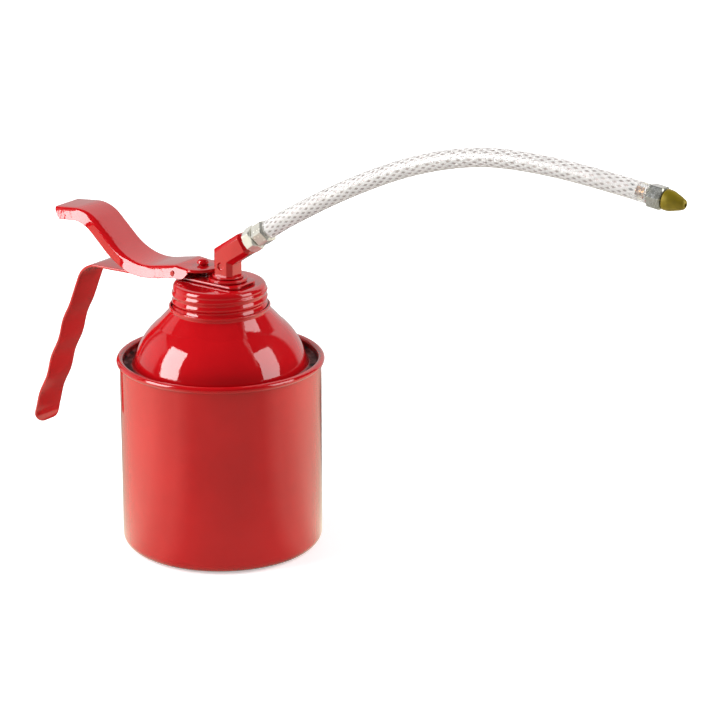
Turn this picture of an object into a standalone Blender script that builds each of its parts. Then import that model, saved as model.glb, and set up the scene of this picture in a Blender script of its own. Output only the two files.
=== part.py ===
"""Pump oil can: a drawn can with a domed top, a screw cap that carries a lift pump,
a finger grip with a thumb lever, and an elbow with a hose that ends in a nozzle.

Frame: origin at the centre of the can's base, +Z up, +X towards the nozzle.
The grip and the lever lie towards -X, and all pieces are symmetric about Y = 0.
"""
import math

import bmesh
import bpy
from mathutils import Matrix, Vector

MM = 0.001

# Clearances that several pieces share
SEAT_GAP = 0.3 * MM
SLIDE_GAP = 0.2 * MM
OVERRUN = 1.0 * MM
WELD = 0.001 * MM

# Facets of the round pieces, steps of a bend, and how far a section looks along its route
SEGMENTS_LARGE = 36
SEGMENTS_MEDIUM = 24
SEGMENTS_SMALL = 16
BEND_STEPS = 6
LOOK_AROUND = 0.2 * MM

# Can body, a drawn cup
BODY_RADIUS = 40.0 * MM
BODY_WALL = 0.6 * MM
BODY_HEIGHT = 76.6 * MM
BASE_CORNER = 4.0 * MM

# Domed top: rolled seam, gutter, dome, neck and the ledge for the gasket
TOP_WALL = 0.6 * MM
SEAM_LIP = 0.95 * MM
SEAM_DEPTH = 1.6 * MM
SEAM_ROOF = 0.75 * MM
GUTTER_WIDTH = 3.9 * MM
GUTTER_DEPTH = 3.25 * MM
DOME_RISE = 20.2 * MM
DOME_CURVE = 28.2 * MM
NECK_RADIUS = 20.05 * MM
NECK_HEIGHT = 4.3 * MM
NECK_LIP = 0.25 * MM
NECK_WALL = 0.75 * MM
LEDGE_DROP = 2.2 * MM
LEDGE_THICKNESS = 0.6 * MM

# Screw cap; its right-hand thread is repeated inside the neck
THREAD_PITCH = 3.05 * MM
THREAD_DEPTH = 0.55 * MM
THREAD_GAP = 0.35 * MM
THREAD_START = 1.3 * MM
THREAD_ROWS = 4
CAP_WALL = 1.0 * MM
CAP_HEIGHT = 13.5 * MM
CAP_TOP_WALL = 1.0 * MM
CAP_SHOULDER = 2.0 * MM
GASKET_WIDTH = 1.5 * MM
GASKET_HEIGHT = 1.6 * MM

# Grip strip: a flat on the cap, a step down, a run back, a bend and the finger grip
STRIP_WIDTH = 15.0 * MM
STRIP_THICKNESS = 1.0 * MM
STRIP_EDGE = 0.2 * MM
STRIP_CORNER = 5.0 * MM
STRIP_STEP_REACH = 0.65 * MM
STRIP_STEP_RUN = 6.0 * MM
STRIP_STEP_DROP = 2.1 * MM
STRIP_STEP_BEND = 6.0 * MM
STRIP_BACK_X = -64.8 * MM
STRIP_BACK_DROP = 3.3 * MM
GRIP_BEND = 11.0 * MM
GRIP_RUN = 28.9 * MM
GRIP_DROP = 70.6 * MM
GRIP_HOOK_RUN = 1.0 * MM
GRIP_HOOK_DROP = 4.3 * MM
GRIP_HOOK_BEND = 7.0 * MM
WAVE_HEIGHT = 0.8 * MM
WAVE_PITCH = 18.6 * MM
WAVE_END = 5.5 * MM
WAVE_COUNT = 3
WAVE_STEPS = 8

# Hinge of the thumb lever: two ears on the strip and a riveted pin
LEVER_ARM = 8.0 * MM
PIVOT_RISE = 1.35 * MM
EAR_RADIUS = 1.6 * MM
EAR_THICKNESS = 1.0 * MM
EAR_INSET = 0.3 * MM
EAR_FOOT = 5.4 * MM
PIN_RADIUS = 0.9 * MM
PIN_HEAD_RADIUS = 1.6 * MM
PIN_HEAD_HEIGHT = 0.6 * MM

# Thumb lever, an inverted channel; its heights are measured from its flat front
LEVER_SHEET = 1.1 * MM
LEVER_DEPTH = 4.9 * MM
LEVER_LIP = 0.15 * MM
LEVER_BEND = 1.0 * MM
LEVER_SIDE_GAP = 0.4 * MM
LEVER_EYE_RADIUS = 7.2 * MM
LEVER_NOSE_WIDTH = 4.4 * MM
LEVER_FLAT_BACK = 3.0 * MM
LEVER_WAIST = 3.2 * MM
LEVER_FLANGE_FRONT = 1.7 * MM
LEVER_FLANGE_RUN = 6.0 * MM
LEVER_FLANGE_END = 3.8 * MM
LEVER_SHOULDER_SHIFT = 0.4 * MM
LEVER_SHOULDER_BEND = 6.0 * MM
LEVER_VALLEY_X = -39.4 * MM
LEVER_VALLEY_DROP = 4.35 * MM
LEVER_VALLEY_BEND = 24.0 * MM
LEVER_CREST_X = -61.5 * MM
LEVER_CREST_RISE = 15.5 * MM
LEVER_CREST_BEND = 9.0 * MM
LEVER_TIP_X = -78.2 * MM
LEVER_TIP_RISE = 14.0 * MM
LEVER_TIP_WIDTH = 16.4 * MM
LEVER_TIP_CORNER = 3.0 * MM
EYE_SLOT_FRONT = 2.4 * MM
EYE_SLOT_BACK = 1.8 * MM

# Plunger rod with its round head, and its packing
PUMP_SIDE_GAP = 2.6 * MM
ROD_RADIUS = 1.5 * MM
ROD_HOLE_GAP = 0.5 * MM
ROD_HEAD_RADIUS = 2.45 * MM
ROD_HEAD_HEIGHT = 1.7 * MM
ROD_HEAD_RELIEF = 0.5 * MM
ROD_HEAD_ROUND = 0.7 * MM
GLAND_RADIUS = 3.0 * MM
GLAND_DEPTH = 5.3 * MM
ROD_SEAL_HEIGHT = 1.2 * MM

# Piston: a grooved disc under a boss that holds the valve ball and takes the rod
PISTON_HEIGHT = 4.0 * MM
PISTON_GROOVE_HEIGHT = 2.0 * MM
PISTON_GROOVE_DEPTH = 1.2 * MM
PISTON_BOSS_RADIUS = 2.7 * MM
PISTON_INLET_RADIUS = 1.2 * MM
PISTON_INLET_LENGTH = 1.5 * MM
PISTON_BALL_RADIUS = 1.6 * MM
PISTON_BALL_LIFT = 1.0 * MM
PISTON_BALL_GAP = 0.3 * MM
PISTON_PORT_RADIUS = 0.6 * MM
PISTON_ROOF = 1.0 * MM
ROD_SOCKET_DEPTH = 2.0 * MM

# Pump body, a casting with the cylinder and the outlet duct
CYLINDER_RADIUS = 5.0 * MM
CYLINDER_WALL = 1.6 * MM
CYLINDER_LENGTH = 25.5 * MM
CYLINDER_ROOF = 2.0 * MM
PISTON_CLEARANCE = 2.3 * MM
HEAD_HEIGHT = 22.8 * MM
DUCT_RADIUS = 1.8 * MM
DUCT_WALL = 1.5 * MM
DUCT_FLOOR = 6.0 * MM
CROSS_DUCT_RADIUS = 1.2 * MM
CROSS_DUCT_RISE = 5.0 * MM

# Return spring round the boss and the rod
SPRING_RADIUS = 3.6 * MM
SPRING_WIRE_RADIUS = 0.45 * MM
SPRING_TURNS = 5.5
SPRING_STEPS = 10

# Inlet valve, suction tube and strainer
INLET_PLUG_HEIGHT = 8.2 * MM
INLET_FLANGE = 1.2 * MM
INLET_COLLAR_LENGTH = 2.5 * MM
INLET_COLLAR_WALL = 0.9 * MM
INLET_SEAT_RADIUS = 1.2 * MM
INLET_SEAT_LENGTH = 1.0 * MM
INLET_CAGE_RADIUS = 2.5 * MM
INLET_BALL_RADIUS = 2.0 * MM
INLET_BALL_LIFT = 1.0 * MM
STOP_BAR_RADIUS = 0.45 * MM
TUBE_RADIUS = 2.4 * MM
TUBE_WALL = 0.8 * MM
TUBE_ENTRY = 5.0 * MM
TUBE_FLOOR = 8.6 * MM
STRAINER_RADIUS = 4.2 * MM
STRAINER_WALL = 0.8 * MM
STRAINER_FLOOR = 3.5 * MM
STRAINER_CUP = 4.5 * MM
STRAINER_HEIGHT = 10.5 * MM
STRAINER_SLOT_WIDTH = 0.9 * MM
STRAINER_SLOT_HEIGHT = 2.4 * MM
STRAINER_SLOT_RISE = 1.5 * MM
STRAINER_SLOT_CUTS = 3

# Elbow: round stem and foot, a square bar with broken edges and a mitre
SPOUT_SPACING = 12.5 * MM
SPOUT_ANGLE = math.radians(34.0)
WASHER_RADIUS = 7.7 * MM
WASHER_THICKNESS = 1.1 * MM
STEM_RADIUS = 3.0 * MM
STEM_DEPTH = 6.3 * MM
FOOT_RADIUS = 6.2 * MM
FOOT_HEIGHT = 0.8 * MM
BAR_WIDTH = 8.9 * MM
BAR_EDGE = 1.5 * MM
BAR_RISE = 7.7 * MM
BAR_LENGTH = 12.1 * MM
ELBOW_BORE = 1.75 * MM
ELBOW_SOCKET_DEPTH = 5.0 * MM
DIMPLE_RADIUS = 1.9 * MM
DIMPLE_DEPTH = 0.5 * MM
DIMPLE_RISE = 4.1 * MM

# Fittings along the spout's axis: adapter, then the hose's barbed tail
ADAPTER_FLATS = 9.0 * MM
ADAPTER_LENGTH = 4.5 * MM
ADAPTER_SCREW_RADIUS = 2.3 * MM
ADAPTER_SCREW_LENGTH = 4.7 * MM
ADAPTER_NOSE_LENGTH = 3.0 * MM
ADAPTER_BORE = 1.1 * MM
TAIL_FLATS = 8.3 * MM
TAIL_LENGTH = 6.3 * MM
TAIL_BORE = 1.0 * MM
BARB_RADIUS = 1.75 * MM
BARB_ROOT = 1.5 * MM
BARB_LENGTH = 10.2 * MM
BARB_RIDGES = 3
HEX_CHAMFER = 0.5 * MM

# Hose; its route is the centre line between the straight ends, as (X, Z) in mm
HOSE_RADIUS = 3.6 * MM
HOSE_BORE = 2.05 * MM
HOSE_STEP = 15.0 * MM
HOSE_ROUTE = [
    (50.9, 149.5), (62.2, 155.6), (73.4, 161.2), (84.4, 166.2), (95.3, 170.4), (106.0, 173.8),
    (116.6, 176.4), (127.2, 178.1), (137.6, 178.8), (147.9, 178.9), (158.1, 178.6), (168.2, 177.9),
    (178.3, 177.0),
]
HOSE_END = Vector((193.6, 175.4)) * MM
TIP_ANGLE = math.radians(-6.5)

# Tip fitting and nozzle; the taper is the angle, in degrees, at which the tip's round starts
TIP_FLATS = 8.0 * MM
TIP_LENGTH = 6.3 * MM
TIP_BARB_LENGTH = 5.0 * MM
TIP_SPIGOT_RADIUS = 2.0 * MM
TIP_SPIGOT_LENGTH = 3.0 * MM
NOZZLE_RADIUS = 3.8 * MM
NOZZLE_LENGTH = 9.6 * MM
NOZZLE_TIP_RADIUS = 1.6 * MM
NOZZLE_TIP_ROUND = 0.5 * MM
NOZZLE_BASE_EDGE = 0.4 * MM
NOZZLE_BORE = 0.75 * MM
NOZZLE_TAPER = 15.0

# Radii and places along X that follow from the sizes above
CAP_CREST = NECK_RADIUS - NECK_WALL - THREAD_GAP
CAP_ROOT = CAP_CREST - THREAD_DEPTH
CAP_INSIDE = CAP_ROOT - CAP_WALL
LEDGE_RADIUS = CAP_ROOT - GASKET_WIDTH - SEAT_GAP
CYLINDER_OUTSIDE = CYLINDER_RADIUS + CYLINDER_WALL
PLUNGER_X = CYLINDER_OUTSIDE + PUMP_SIDE_GAP - CAP_INSIDE
PIVOT_X = PLUNGER_X - LEVER_ARM
SPOUT_X = PLUNGER_X + SPOUT_SPACING
STRIP_FRONT_X = SPOUT_X + WASHER_RADIUS
STRIP_STEP_X = -CAP_CREST - STRIP_STEP_REACH

# Heights that follow from the sizes above
SEAM_TOP = BODY_HEIGHT + SEAT_GAP + SEAM_ROOF
GUTTER_Z = SEAM_TOP - GUTTER_DEPTH
NECK_ROOT = GUTTER_Z + DOME_RISE
NECK_TOP = NECK_ROOT + NECK_HEIGHT
LEDGE_TOP = NECK_ROOT - LEDGE_DROP
CAP_FLOOR = LEDGE_TOP + SEAT_GAP + GASKET_HEIGHT + SEAT_GAP
CAP_TOP = CAP_FLOOR + CAP_HEIGHT
CAP_CEILING = CAP_TOP - CAP_TOP_WALL
STRIP_TOP = CAP_TOP + SEAT_GAP + STRIP_THICKNESS
WASHER_FLOOR = STRIP_TOP + SEAT_GAP
FOOT_FLOOR = WASHER_FLOOR + WASHER_THICKNESS + SEAT_GAP
FOOT_TOP = FOOT_FLOOR + FOOT_HEIGHT
CROSSING_Z = FOOT_TOP + BAR_RISE
PIVOT_Z = STRIP_TOP + PIVOT_RISE
PIN_HOLE = PIN_RADIUS + SLIDE_GAP
LEVER_TOP = FOOT_TOP + SEAT_GAP + LEVER_LIP + LEVER_SHEET
LEVER_HALF = STRIP_WIDTH / 2 + LEVER_SIDE_GAP + LEVER_SHEET
ROD_HOLE = ROD_RADIUS + ROD_HOLE_GAP
STEM_HOLE = STEM_RADIUS + SEAT_GAP
HEAD_TOP = CAP_CEILING - SEAT_GAP
HEAD_FLOOR = HEAD_TOP - HEAD_HEIGHT
CYLINDER_TOP = HEAD_TOP - GLAND_DEPTH - CYLINDER_ROOF
CYLINDER_FLOOR = CYLINDER_TOP - CYLINDER_LENGTH
DUCT_OUTSIDE = STEM_HOLE + DUCT_WALL
STEM_FLOOR = HEAD_TOP - STEM_DEPTH
PLUG_FLOOR = CYLINDER_FLOOR - SEAT_GAP
PLUG_TOP = CYLINDER_FLOOR + INLET_PLUG_HEIGHT
PISTON_RADIUS = CYLINDER_RADIUS - SEAT_GAP
PISTON_FLOOR = PLUG_TOP + PISTON_CLEARANCE
PISTON_TOP = PISTON_FLOOR + PISTON_HEIGHT
TUBE_SOCKET = TUBE_RADIUS + SEAT_GAP

# Places along the spout's axis from the crossing, and along the tip's from the hose
ADAPTER_START = BAR_LENGTH + SEAT_GAP
ADAPTER_END = ADAPTER_START + ADAPTER_LENGTH
TAIL_START = ADAPTER_END + SEAT_GAP
TAIL_END = TAIL_START + TAIL_LENGTH
HOSE_START = TAIL_END + SEAT_GAP
BARB_END = TAIL_END + BARB_LENGTH
TIP_END = SEAT_GAP + TIP_LENGTH
NOZZLE_START = TIP_END + SEAT_GAP
NOZZLE_END = NOZZLE_START + NOZZLE_LENGTH


def clear_scene():
    for item in list(bpy.data.objects):
        bpy.data.objects.remove(item, do_unlink=True)


def finish(name, colour, roughness, metallic):
    material = bpy.data.materials.new(name)
    material.use_nodes = True
    shader = material.node_tree.nodes["Principled BSDF"]
    shader.inputs["Base Color"].default_value = (*colour, 1.0)
    shader.inputs["Roughness"].default_value = roughness
    shader.inputs["Metallic"].default_value = metallic
    return material


def red_enamel(piece):
    return finish(piece + "_enamel", (0.552, 0.008, 0.012), 0.22, 0.0)


def zinc_plate(piece):
    return finish(piece + "_zinc", (0.62, 0.61, 0.56), 0.32, 1.0)


def bright_steel(piece):
    return finish(piece + "_steel", (0.60, 0.60, 0.60), 0.25, 1.0)


def brass(piece):
    return finish(piece + "_brass", (0.60, 0.42, 0.17), 0.35, 1.0)


def olive_brass(piece):
    return finish(piece + "_olive_brass", (0.42, 0.36, 0.16), 0.38, 1.0)


def cast_alloy(piece):
    return finish(piece + "_alloy", (0.42, 0.43, 0.44), 0.5, 1.0)


def dark_rubber(piece):
    return finish(piece + "_rubber", (0.03, 0.03, 0.03), 0.7, 0.0)


def clear_hose(piece):
    return finish(piece + "_braid", (0.72, 0.72, 0.70), 0.3, 0.0)


def white_plastic(piece):
    return finish(piece + "_plastic", (0.78, 0.77, 0.72), 0.45, 0.0)


def station(name, place, turn, parent):
    """An empty that carries pieces, turned about Y."""
    empty = bpy.data.objects.new(name, None)
    bpy.context.scene.collection.objects.link(empty)
    empty.location = place
    empty.rotation_euler = (0.0, turn, 0.0)
    empty.parent = parent
    return empty


def to_object(name, bm):
    """Turn a bmesh into an object in the scene, with its faces pointing out."""
    bmesh.ops.remove_doubles(bm, verts=bm.verts, dist=WELD)
    bmesh.ops.recalc_face_normals(bm, faces=bm.faces)
    mesh = bpy.data.meshes.new(name)
    bm.to_mesh(mesh)
    bm.free()
    item = bpy.data.objects.new(name, mesh)
    bpy.context.scene.collection.objects.link(item)
    return item


def dress(item, material, parent):
    """Give a piece its material, its smooth shading and what it is placed by."""
    item.data.materials.clear()
    item.data.materials.append(material)
    if item.type == "MESH":
        item.data.shade_smooth()
        item.data.set_sharp_from_angle(angle=math.radians(35.0))
    item.parent = parent
    return item


def mix(start, end, share):
    return start + (end - start) * share


def clamp(share):
    return max(0.0, min(1.0, share))


def arc(centre, radius, start, end, steps):
    """Points along an arc with both its ends; the angles are in degrees."""
    points = []
    for step in range(steps + 1):
        angle = math.radians(mix(start, end, step / steps))
        points.append((centre[0] + radius * math.cos(angle), centre[1] + radius * math.sin(angle)))
    return points


def circle(radius, segments, centre=(0.0, 0.0)):
    return arc(centre, radius, 0.0, 360.0 - 360.0 / segments, segments - 1)


def turned(name, profile, segments):
    """Spin an outline of (radius, height) points round Z.

    An outline with both ends on the axis stays open there, and any other one is closed.
    The flat discs at its ends become single faces.
    """
    bm = bmesh.new()
    verts = [bm.verts.new((radius, 0.0, height)) for radius, height in profile]
    edges = [bm.edges.new(pair) for pair in zip(verts, verts[1:])]
    if profile[0][0] > 0.0 or profile[-1][0] > 0.0:
        edges.append(bm.edges.new((verts[-1], verts[0])))
    bmesh.ops.spin(
        bm, geom=verts + edges, cent=(0.0, 0.0, 0.0), axis=(0.0, 0.0, 1.0),
        angle=math.tau, steps=segments, use_merge=True)
    bmesh.ops.remove_doubles(bm, verts=bm.verts, dist=WELD)
    centres = [vert for vert in bm.verts if vert.co.xy.length < WELD]
    bmesh.ops.dissolve_verts(bm, verts=centres)
    return to_object(name, bm)


def ring(name, inside, outside, low, high, segments):
    profile = [(inside, low), (outside, low), (outside, high), (inside, high)]
    return turned(name, profile, segments)


def prism(name, outline, low, high):
    """Extrude a flat outline of (x, y) points from one height to another."""
    bm = bmesh.new()
    face = bm.faces.new([bm.verts.new((x, y, low)) for x, y in outline])
    raised = bmesh.ops.extrude_face_region(bm, geom=[face])
    lifted = [part for part in raised["geom"] if isinstance(part, bmesh.types.BMVert)]
    bmesh.ops.translate(bm, verts=lifted, vec=(0.0, 0.0, high - low))
    return to_object(name, bm)


def rod(name, radius, low, high, segments=SEGMENTS_SMALL, centre=(0.0, 0.0)):
    return prism(name, circle(radius, segments, centre), low, high)


def bar_along_y(name, outline, half):
    """A prism along Y, between -half and half, whose outline is in (x, z)."""
    item = prism(name, [(x, -z) for x, z in outline], -half, half)
    item.data.transform(Matrix.Rotation(-math.pi / 2, 4, "X"))
    return item


def ball(name, radius, height):
    bm = bmesh.new()
    bmesh.ops.create_uvsphere(bm, u_segments=14, v_segments=8, radius=radius)
    bmesh.ops.translate(bm, verts=bm.verts, vec=(0.0, 0.0, height))
    return to_object(name, bm)


def combine(item, tool, operation):
    """Apply a Boolean with another closed piece, and drop that piece."""
    modifier = item.modifiers.new("combine", "BOOLEAN")
    modifier.operation = operation
    modifier.solver = "EXACT"
    modifier.object = tool
    graph = bpy.context.evaluated_depsgraph_get()
    mesh = bpy.data.meshes.new_from_object(item.evaluated_get(graph))
    item.modifiers.clear()
    item.data = mesh
    bpy.data.objects.remove(tool, do_unlink=True)
    return item


def cut(item, tool):
    return combine(item, tool, "DIFFERENCE")


def join(item, tool):
    return combine(item, tool, "UNION")


def loft(name, sections):
    """Skin a row of closed sections that hold as many points each, and cap both ends."""
    bm = bmesh.new()
    rings = [[bm.verts.new(point) for point in section] for section in sections]
    count = len(rings[0])
    for ring_verts, following in zip(rings, rings[1:]):
        for index in range(count):
            after = (index + 1) % count
            bm.faces.new((ring_verts[index], ring_verts[after], following[after], following[index]))
    bm.faces.new(rings[0])
    bm.faces.new(list(reversed(rings[-1])))
    return to_object(name, bm)


def rounded_route(corners):
    """A route of (x, z) points through corners (x, z, radius), each rounded by an arc."""
    points = [Vector(corners[0][:2])]
    for before, corner, after in zip(corners, corners[1:], corners[2:]):
        here = Vector(corner[:2])
        back = (Vector(before[:2]) - here).normalized()
        ahead = (Vector(after[:2]) - here).normalized()
        half = back.angle(ahead) / 2
        reach = corner[2] / math.tan(half)
        centre = here + (back + ahead).normalized() * (corner[2] / math.sin(half))
        first = here + back * reach - centre
        sweep = -first.angle_signed(here + ahead * reach - centre)
        for step in range(BEND_STEPS + 1):
            spoke = Matrix.Rotation(sweep * step / BEND_STEPS, 2) @ first
            points.append(centre + spoke)
    points.append(Vector(corners[-1][:2]))
    return points


def marks_of(route):
    """Distance from the start of a route to each of its points."""
    marks = [0.0]
    for before, after in zip(route, route[1:]):
        marks.append(marks[-1] + (after - before).length)
    return marks


def thin_out(marks, spacing):
    """Sort distances, and keep only those a spacing apart, with both ends."""
    kept = []
    for mark in sorted(marks):
        if not kept or mark - kept[-1] > spacing:
            kept.append(mark)
    kept[-1] = max(marks)
    return kept


def walk(route, distance):
    """Place and direction at a distance along a route."""
    marks = marks_of(route)
    last = len(route) - 2
    index = 0
    while index < last and marks[index + 1] < distance:
        index += 1
    direction = (route[index + 1] - route[index]).normalized()
    return route[index] + direction * (distance - marks[index]), direction


def swept(name, route, stations):
    """Skin sections along a route; a station is (distance, outline in (across, depth))."""
    sections = []
    for distance, outline in stations:
        place = walk(route, distance)[0]
        behind = walk(route, distance - LOOK_AROUND)[1]
        direction = (behind + walk(route, distance + LOOK_AROUND)[1]).normalized()
        inward = Vector((-direction.y, direction.x))
        section = []
        for across, depth in outline:
            point = place + inward * depth
            section.append((point.x, across, point.y))
        sections.append(section)
    return loft(name, sections)


def corner_inset(distance, radius):
    """How far a round corner draws the side in, at a distance from the plate's end."""
    left = max(0.0, radius - distance)
    return radius - math.sqrt(radius ** 2 - left ** 2)


def corner_marks(radius):
    """Distances from a plate's end at which its round corner has points."""
    angles = [math.radians(angle) for angle in (0.0, 22.5, 45.0, 67.5, 90.0)]
    return [radius * (1.0 - math.cos(angle)) for angle in angles]


def thread_ridge(point):
    """How far a point lies up the ridge of the right-hand thread, from 0 to 1."""
    turn = math.atan2(point.y, point.x) / math.tau
    rise = (point.z - CAP_FLOOR - THREAD_START) / THREAD_PITCH
    return 0.5 + 0.5 * math.cos(math.tau * (rise - turn))


def thread_heights(low, high):
    rows = max(2, round((high - low) / THREAD_PITCH * THREAD_ROWS))
    return [mix(low, high, row / rows) for row in range(rows + 1)]


def cut_thread(item, wall, low, high, outward):
    """Push a plain round wall outwards into ridges, or inwards between its grooves.

    The thread runs out over a third of its pitch at both ends of the wall.
    """
    run_out = THREAD_PITCH / 3
    for vert in item.data.vertices:
        radius = vert.co.xy.length
        if abs(radius - wall) > WELD or not low <= vert.co.z <= high:
            continue
        fade = clamp(min(vert.co.z - low, high - vert.co.z) / run_out)
        ridge = thread_ridge(vert.co)
        push = THREAD_DEPTH * fade * (ridge if outward else ridge - 1.0)
        vert.co.xy *= 1.0 + push / radius


def make_can_body(parent):
    corner = (BODY_RADIUS - BASE_CORNER, BASE_CORNER)
    profile = [(0.0, 0.0)]
    profile += arc(corner, BASE_CORNER, -90.0, 0.0, 5)
    profile += [(BODY_RADIUS, BODY_HEIGHT), (BODY_RADIUS - BODY_WALL, BODY_HEIGHT)]
    profile += arc(corner, BASE_CORNER - BODY_WALL, 0.0, -90.0, 4)
    profile.append((0.0, BODY_WALL))
    return dress(turned("can_body", profile, SEGMENTS_LARGE), red_enamel("can_body"), parent)


def dome_centre(foot, root):
    """Centre of the dome's arc, which passes through its foot and the neck's root."""
    chord = root - foot
    inward = Vector((-chord.y, chord.x)).normalized()
    return (foot + root) / 2 + inward * math.sqrt(DOME_CURVE ** 2 - (chord.length / 2) ** 2)


def heading(centre, point):
    return math.degrees(math.atan2(point[1] - centre[1], point[0] - centre[0]))


def make_dome_top(parent):
    skirt_outside = BODY_RADIUS - BODY_WALL - SEAT_GAP
    skirt_inside = skirt_outside - TOP_WALL
    lip_inside = BODY_RADIUS + SEAT_GAP
    bead = (lip_inside + SEAM_LIP - skirt_inside) / 2
    bead_centre = (skirt_inside + bead, SEAM_TOP - bead)
    channel_roof = SEAM_TOP - SEAM_ROOF
    foot = Vector((skirt_inside - GUTTER_WIDTH, GUTTER_Z))
    root = Vector((NECK_RADIUS, NECK_ROOT))
    centre = dome_centre(foot, root)
    inner_curve = DOME_CURVE - TOP_WALL
    ledge_floor = LEDGE_TOP - LEDGE_THICKNESS
    inner_end = math.degrees(math.asin((ledge_floor - centre.y) / inner_curve))
    groove = CAP_CREST + THREAD_GAP

    profile = [(lip_inside, channel_roof - SEAM_DEPTH), (lip_inside, channel_roof)]
    profile += [(skirt_outside, channel_roof), (skirt_outside, GUTTER_Z)]
    profile += [(skirt_inside, GUTTER_Z - TOP_WALL), (foot.x - TOP_WALL, GUTTER_Z - TOP_WALL)]
    profile += arc(centre, inner_curve, heading(centre, foot), inner_end, 4)
    profile += [(LEDGE_RADIUS, ledge_floor), (LEDGE_RADIUS, LEDGE_TOP)]
    profile += [(groove, height) for height in thread_heights(LEDGE_TOP, NECK_TOP)]
    profile += [(NECK_RADIUS - NECK_LIP, NECK_TOP), (NECK_RADIUS, NECK_TOP - NECK_LIP)]
    profile += arc(centre, DOME_CURVE, heading(centre, root), heading(centre, foot), 7)
    profile.append((skirt_inside, GUTTER_Z))
    profile += arc(bead_centre, bead, 180.0, -45.0, 6)
    dome_top = turned("dome_top", profile, SEGMENTS_LARGE)
    cut_thread(dome_top, groove, LEDGE_TOP, NECK_TOP, False)
    return dress(dome_top, red_enamel("dome_top"), parent)


def make_cap_gasket(parent):
    floor = LEDGE_TOP + SEAT_GAP
    gasket = ring(
        "cap_gasket", CAP_ROOT - GASKET_WIDTH, CAP_ROOT, floor, floor + GASKET_HEIGHT,
        SEGMENTS_MEDIUM)
    return dress(gasket, dark_rubber("cap_gasket"), parent)


def make_cap(parent):
    thread_top = CAP_TOP - CAP_SHOULDER
    profile = [(0.0, CAP_TOP)]
    profile += arc((CAP_ROOT - CAP_SHOULDER, thread_top), CAP_SHOULDER, 90.0, 0.0, 4)[:-1]
    profile += [(CAP_ROOT, height) for height in reversed(thread_heights(CAP_FLOOR, thread_top))]
    profile += [(CAP_INSIDE, CAP_FLOOR), (CAP_INSIDE, CAP_CEILING), (0.0, CAP_CEILING)]
    cap = turned("cap", profile, SEGMENTS_LARGE)
    cut_thread(cap, CAP_ROOT, CAP_FLOOR, thread_top, True)
    pierce(cap, CAP_CEILING, CAP_TOP)
    return dress(cap, red_enamel("cap"), parent)


def pierce(item, low, high):
    """Cut the holes for the rod and for the elbow's stem through a level plate."""
    for centre_x, radius in ((PLUNGER_X, ROD_HOLE), (SPOUT_X, STEM_HOLE)):
        hole = rod("hole", radius, low - OVERRUN, high + OVERRUN, centre=(centre_x, 0.0))
        cut(item, hole)


def wave(distance, start):
    """Height of the grip's waves, which bulge away from the can."""
    turn = (distance - start) / WAVE_PITCH
    if not 0.0 < turn < WAVE_COUNT:
        return 0.0
    return WAVE_HEIGHT * (1.0 - math.cos(math.tau * turn)) / 2


def strip_route():
    step_end = STRIP_STEP_X - STRIP_STEP_RUN
    back_z = STRIP_TOP - STRIP_BACK_DROP
    grip_x = STRIP_BACK_X - GRIP_RUN
    grip_z = back_z - GRIP_DROP
    return rounded_route([
        (STRIP_FRONT_X, STRIP_TOP),
        (STRIP_STEP_X, STRIP_TOP, STRIP_STEP_BEND),
        (step_end, STRIP_TOP - STRIP_STEP_DROP, STRIP_STEP_BEND),
        (STRIP_BACK_X, back_z, GRIP_BEND),
        (grip_x, grip_z, GRIP_HOOK_BEND),
        (grip_x + GRIP_HOOK_RUN, grip_z - GRIP_HOOK_DROP),
    ])


def plate_outline(half, thickness, edge, shift):
    """Section of a flat strip with broken edges, as (across, depth) points."""
    outline = [
        (edge - half, 0.0), (half - edge, 0.0), (half, edge), (half, thickness - edge),
        (half - edge, thickness), (edge - half, thickness), (-half, thickness - edge),
        (-half, edge),
    ]
    return [(across, depth - shift) for across, depth in outline]


def make_handle_strip(parent):
    route = strip_route()
    marks = marks_of(route)
    length = marks[-1]
    start = length - WAVE_END - WAVE_COUNT * WAVE_PITCH
    waves = WAVE_COUNT * WAVE_STEPS
    marks += [start + WAVE_PITCH * step / WAVE_STEPS for step in range(waves + 1)]
    marks += corner_marks(STRIP_CORNER)
    marks += [length - mark for mark in corner_marks(STRIP_CORNER)]
    stations = []
    for mark in thin_out(marks, STRIP_EDGE):
        inset = corner_inset(min(mark, length - mark), STRIP_CORNER)
        half = STRIP_WIDTH / 2 - inset
        outline = plate_outline(half, STRIP_THICKNESS, STRIP_EDGE, wave(mark, start))
        stations.append((mark, outline))
    strip = swept("handle_strip", route, stations)
    add_ears(strip)
    pierce(strip, STRIP_TOP - STRIP_THICKNESS, STRIP_TOP)
    return dress(strip, red_enamel("handle_strip"), parent)


def add_ears(strip):
    """Two ears with round tops, which hold the lever's pin."""
    foot_z = STRIP_TOP - STRIP_THICKNESS / 2
    outline = [(PIVOT_X - EAR_FOOT / 2, foot_z), (PIVOT_X + EAR_FOOT / 2, foot_z)]
    outline += arc((PIVOT_X, PIVOT_Z), EAR_RADIUS, 0.0, 180.0, 8)
    outside = STRIP_WIDTH / 2 - EAR_INSET
    inside = outside - EAR_THICKNESS
    ears = bar_along_y("ears", outline, outside)
    middle = bar_along_y(
        "middle", [(x + (x - PIVOT_X), z + (z - PIVOT_Z)) for x, z in outline], inside)
    cut(ears, middle)
    join(strip, ears)
    pin_hole = circle(PIN_HOLE, SEGMENTS_SMALL, (PIVOT_X, PIVOT_Z))
    cut(strip, bar_along_y("pin_hole", pin_hole, outside + OVERRUN))


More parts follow.
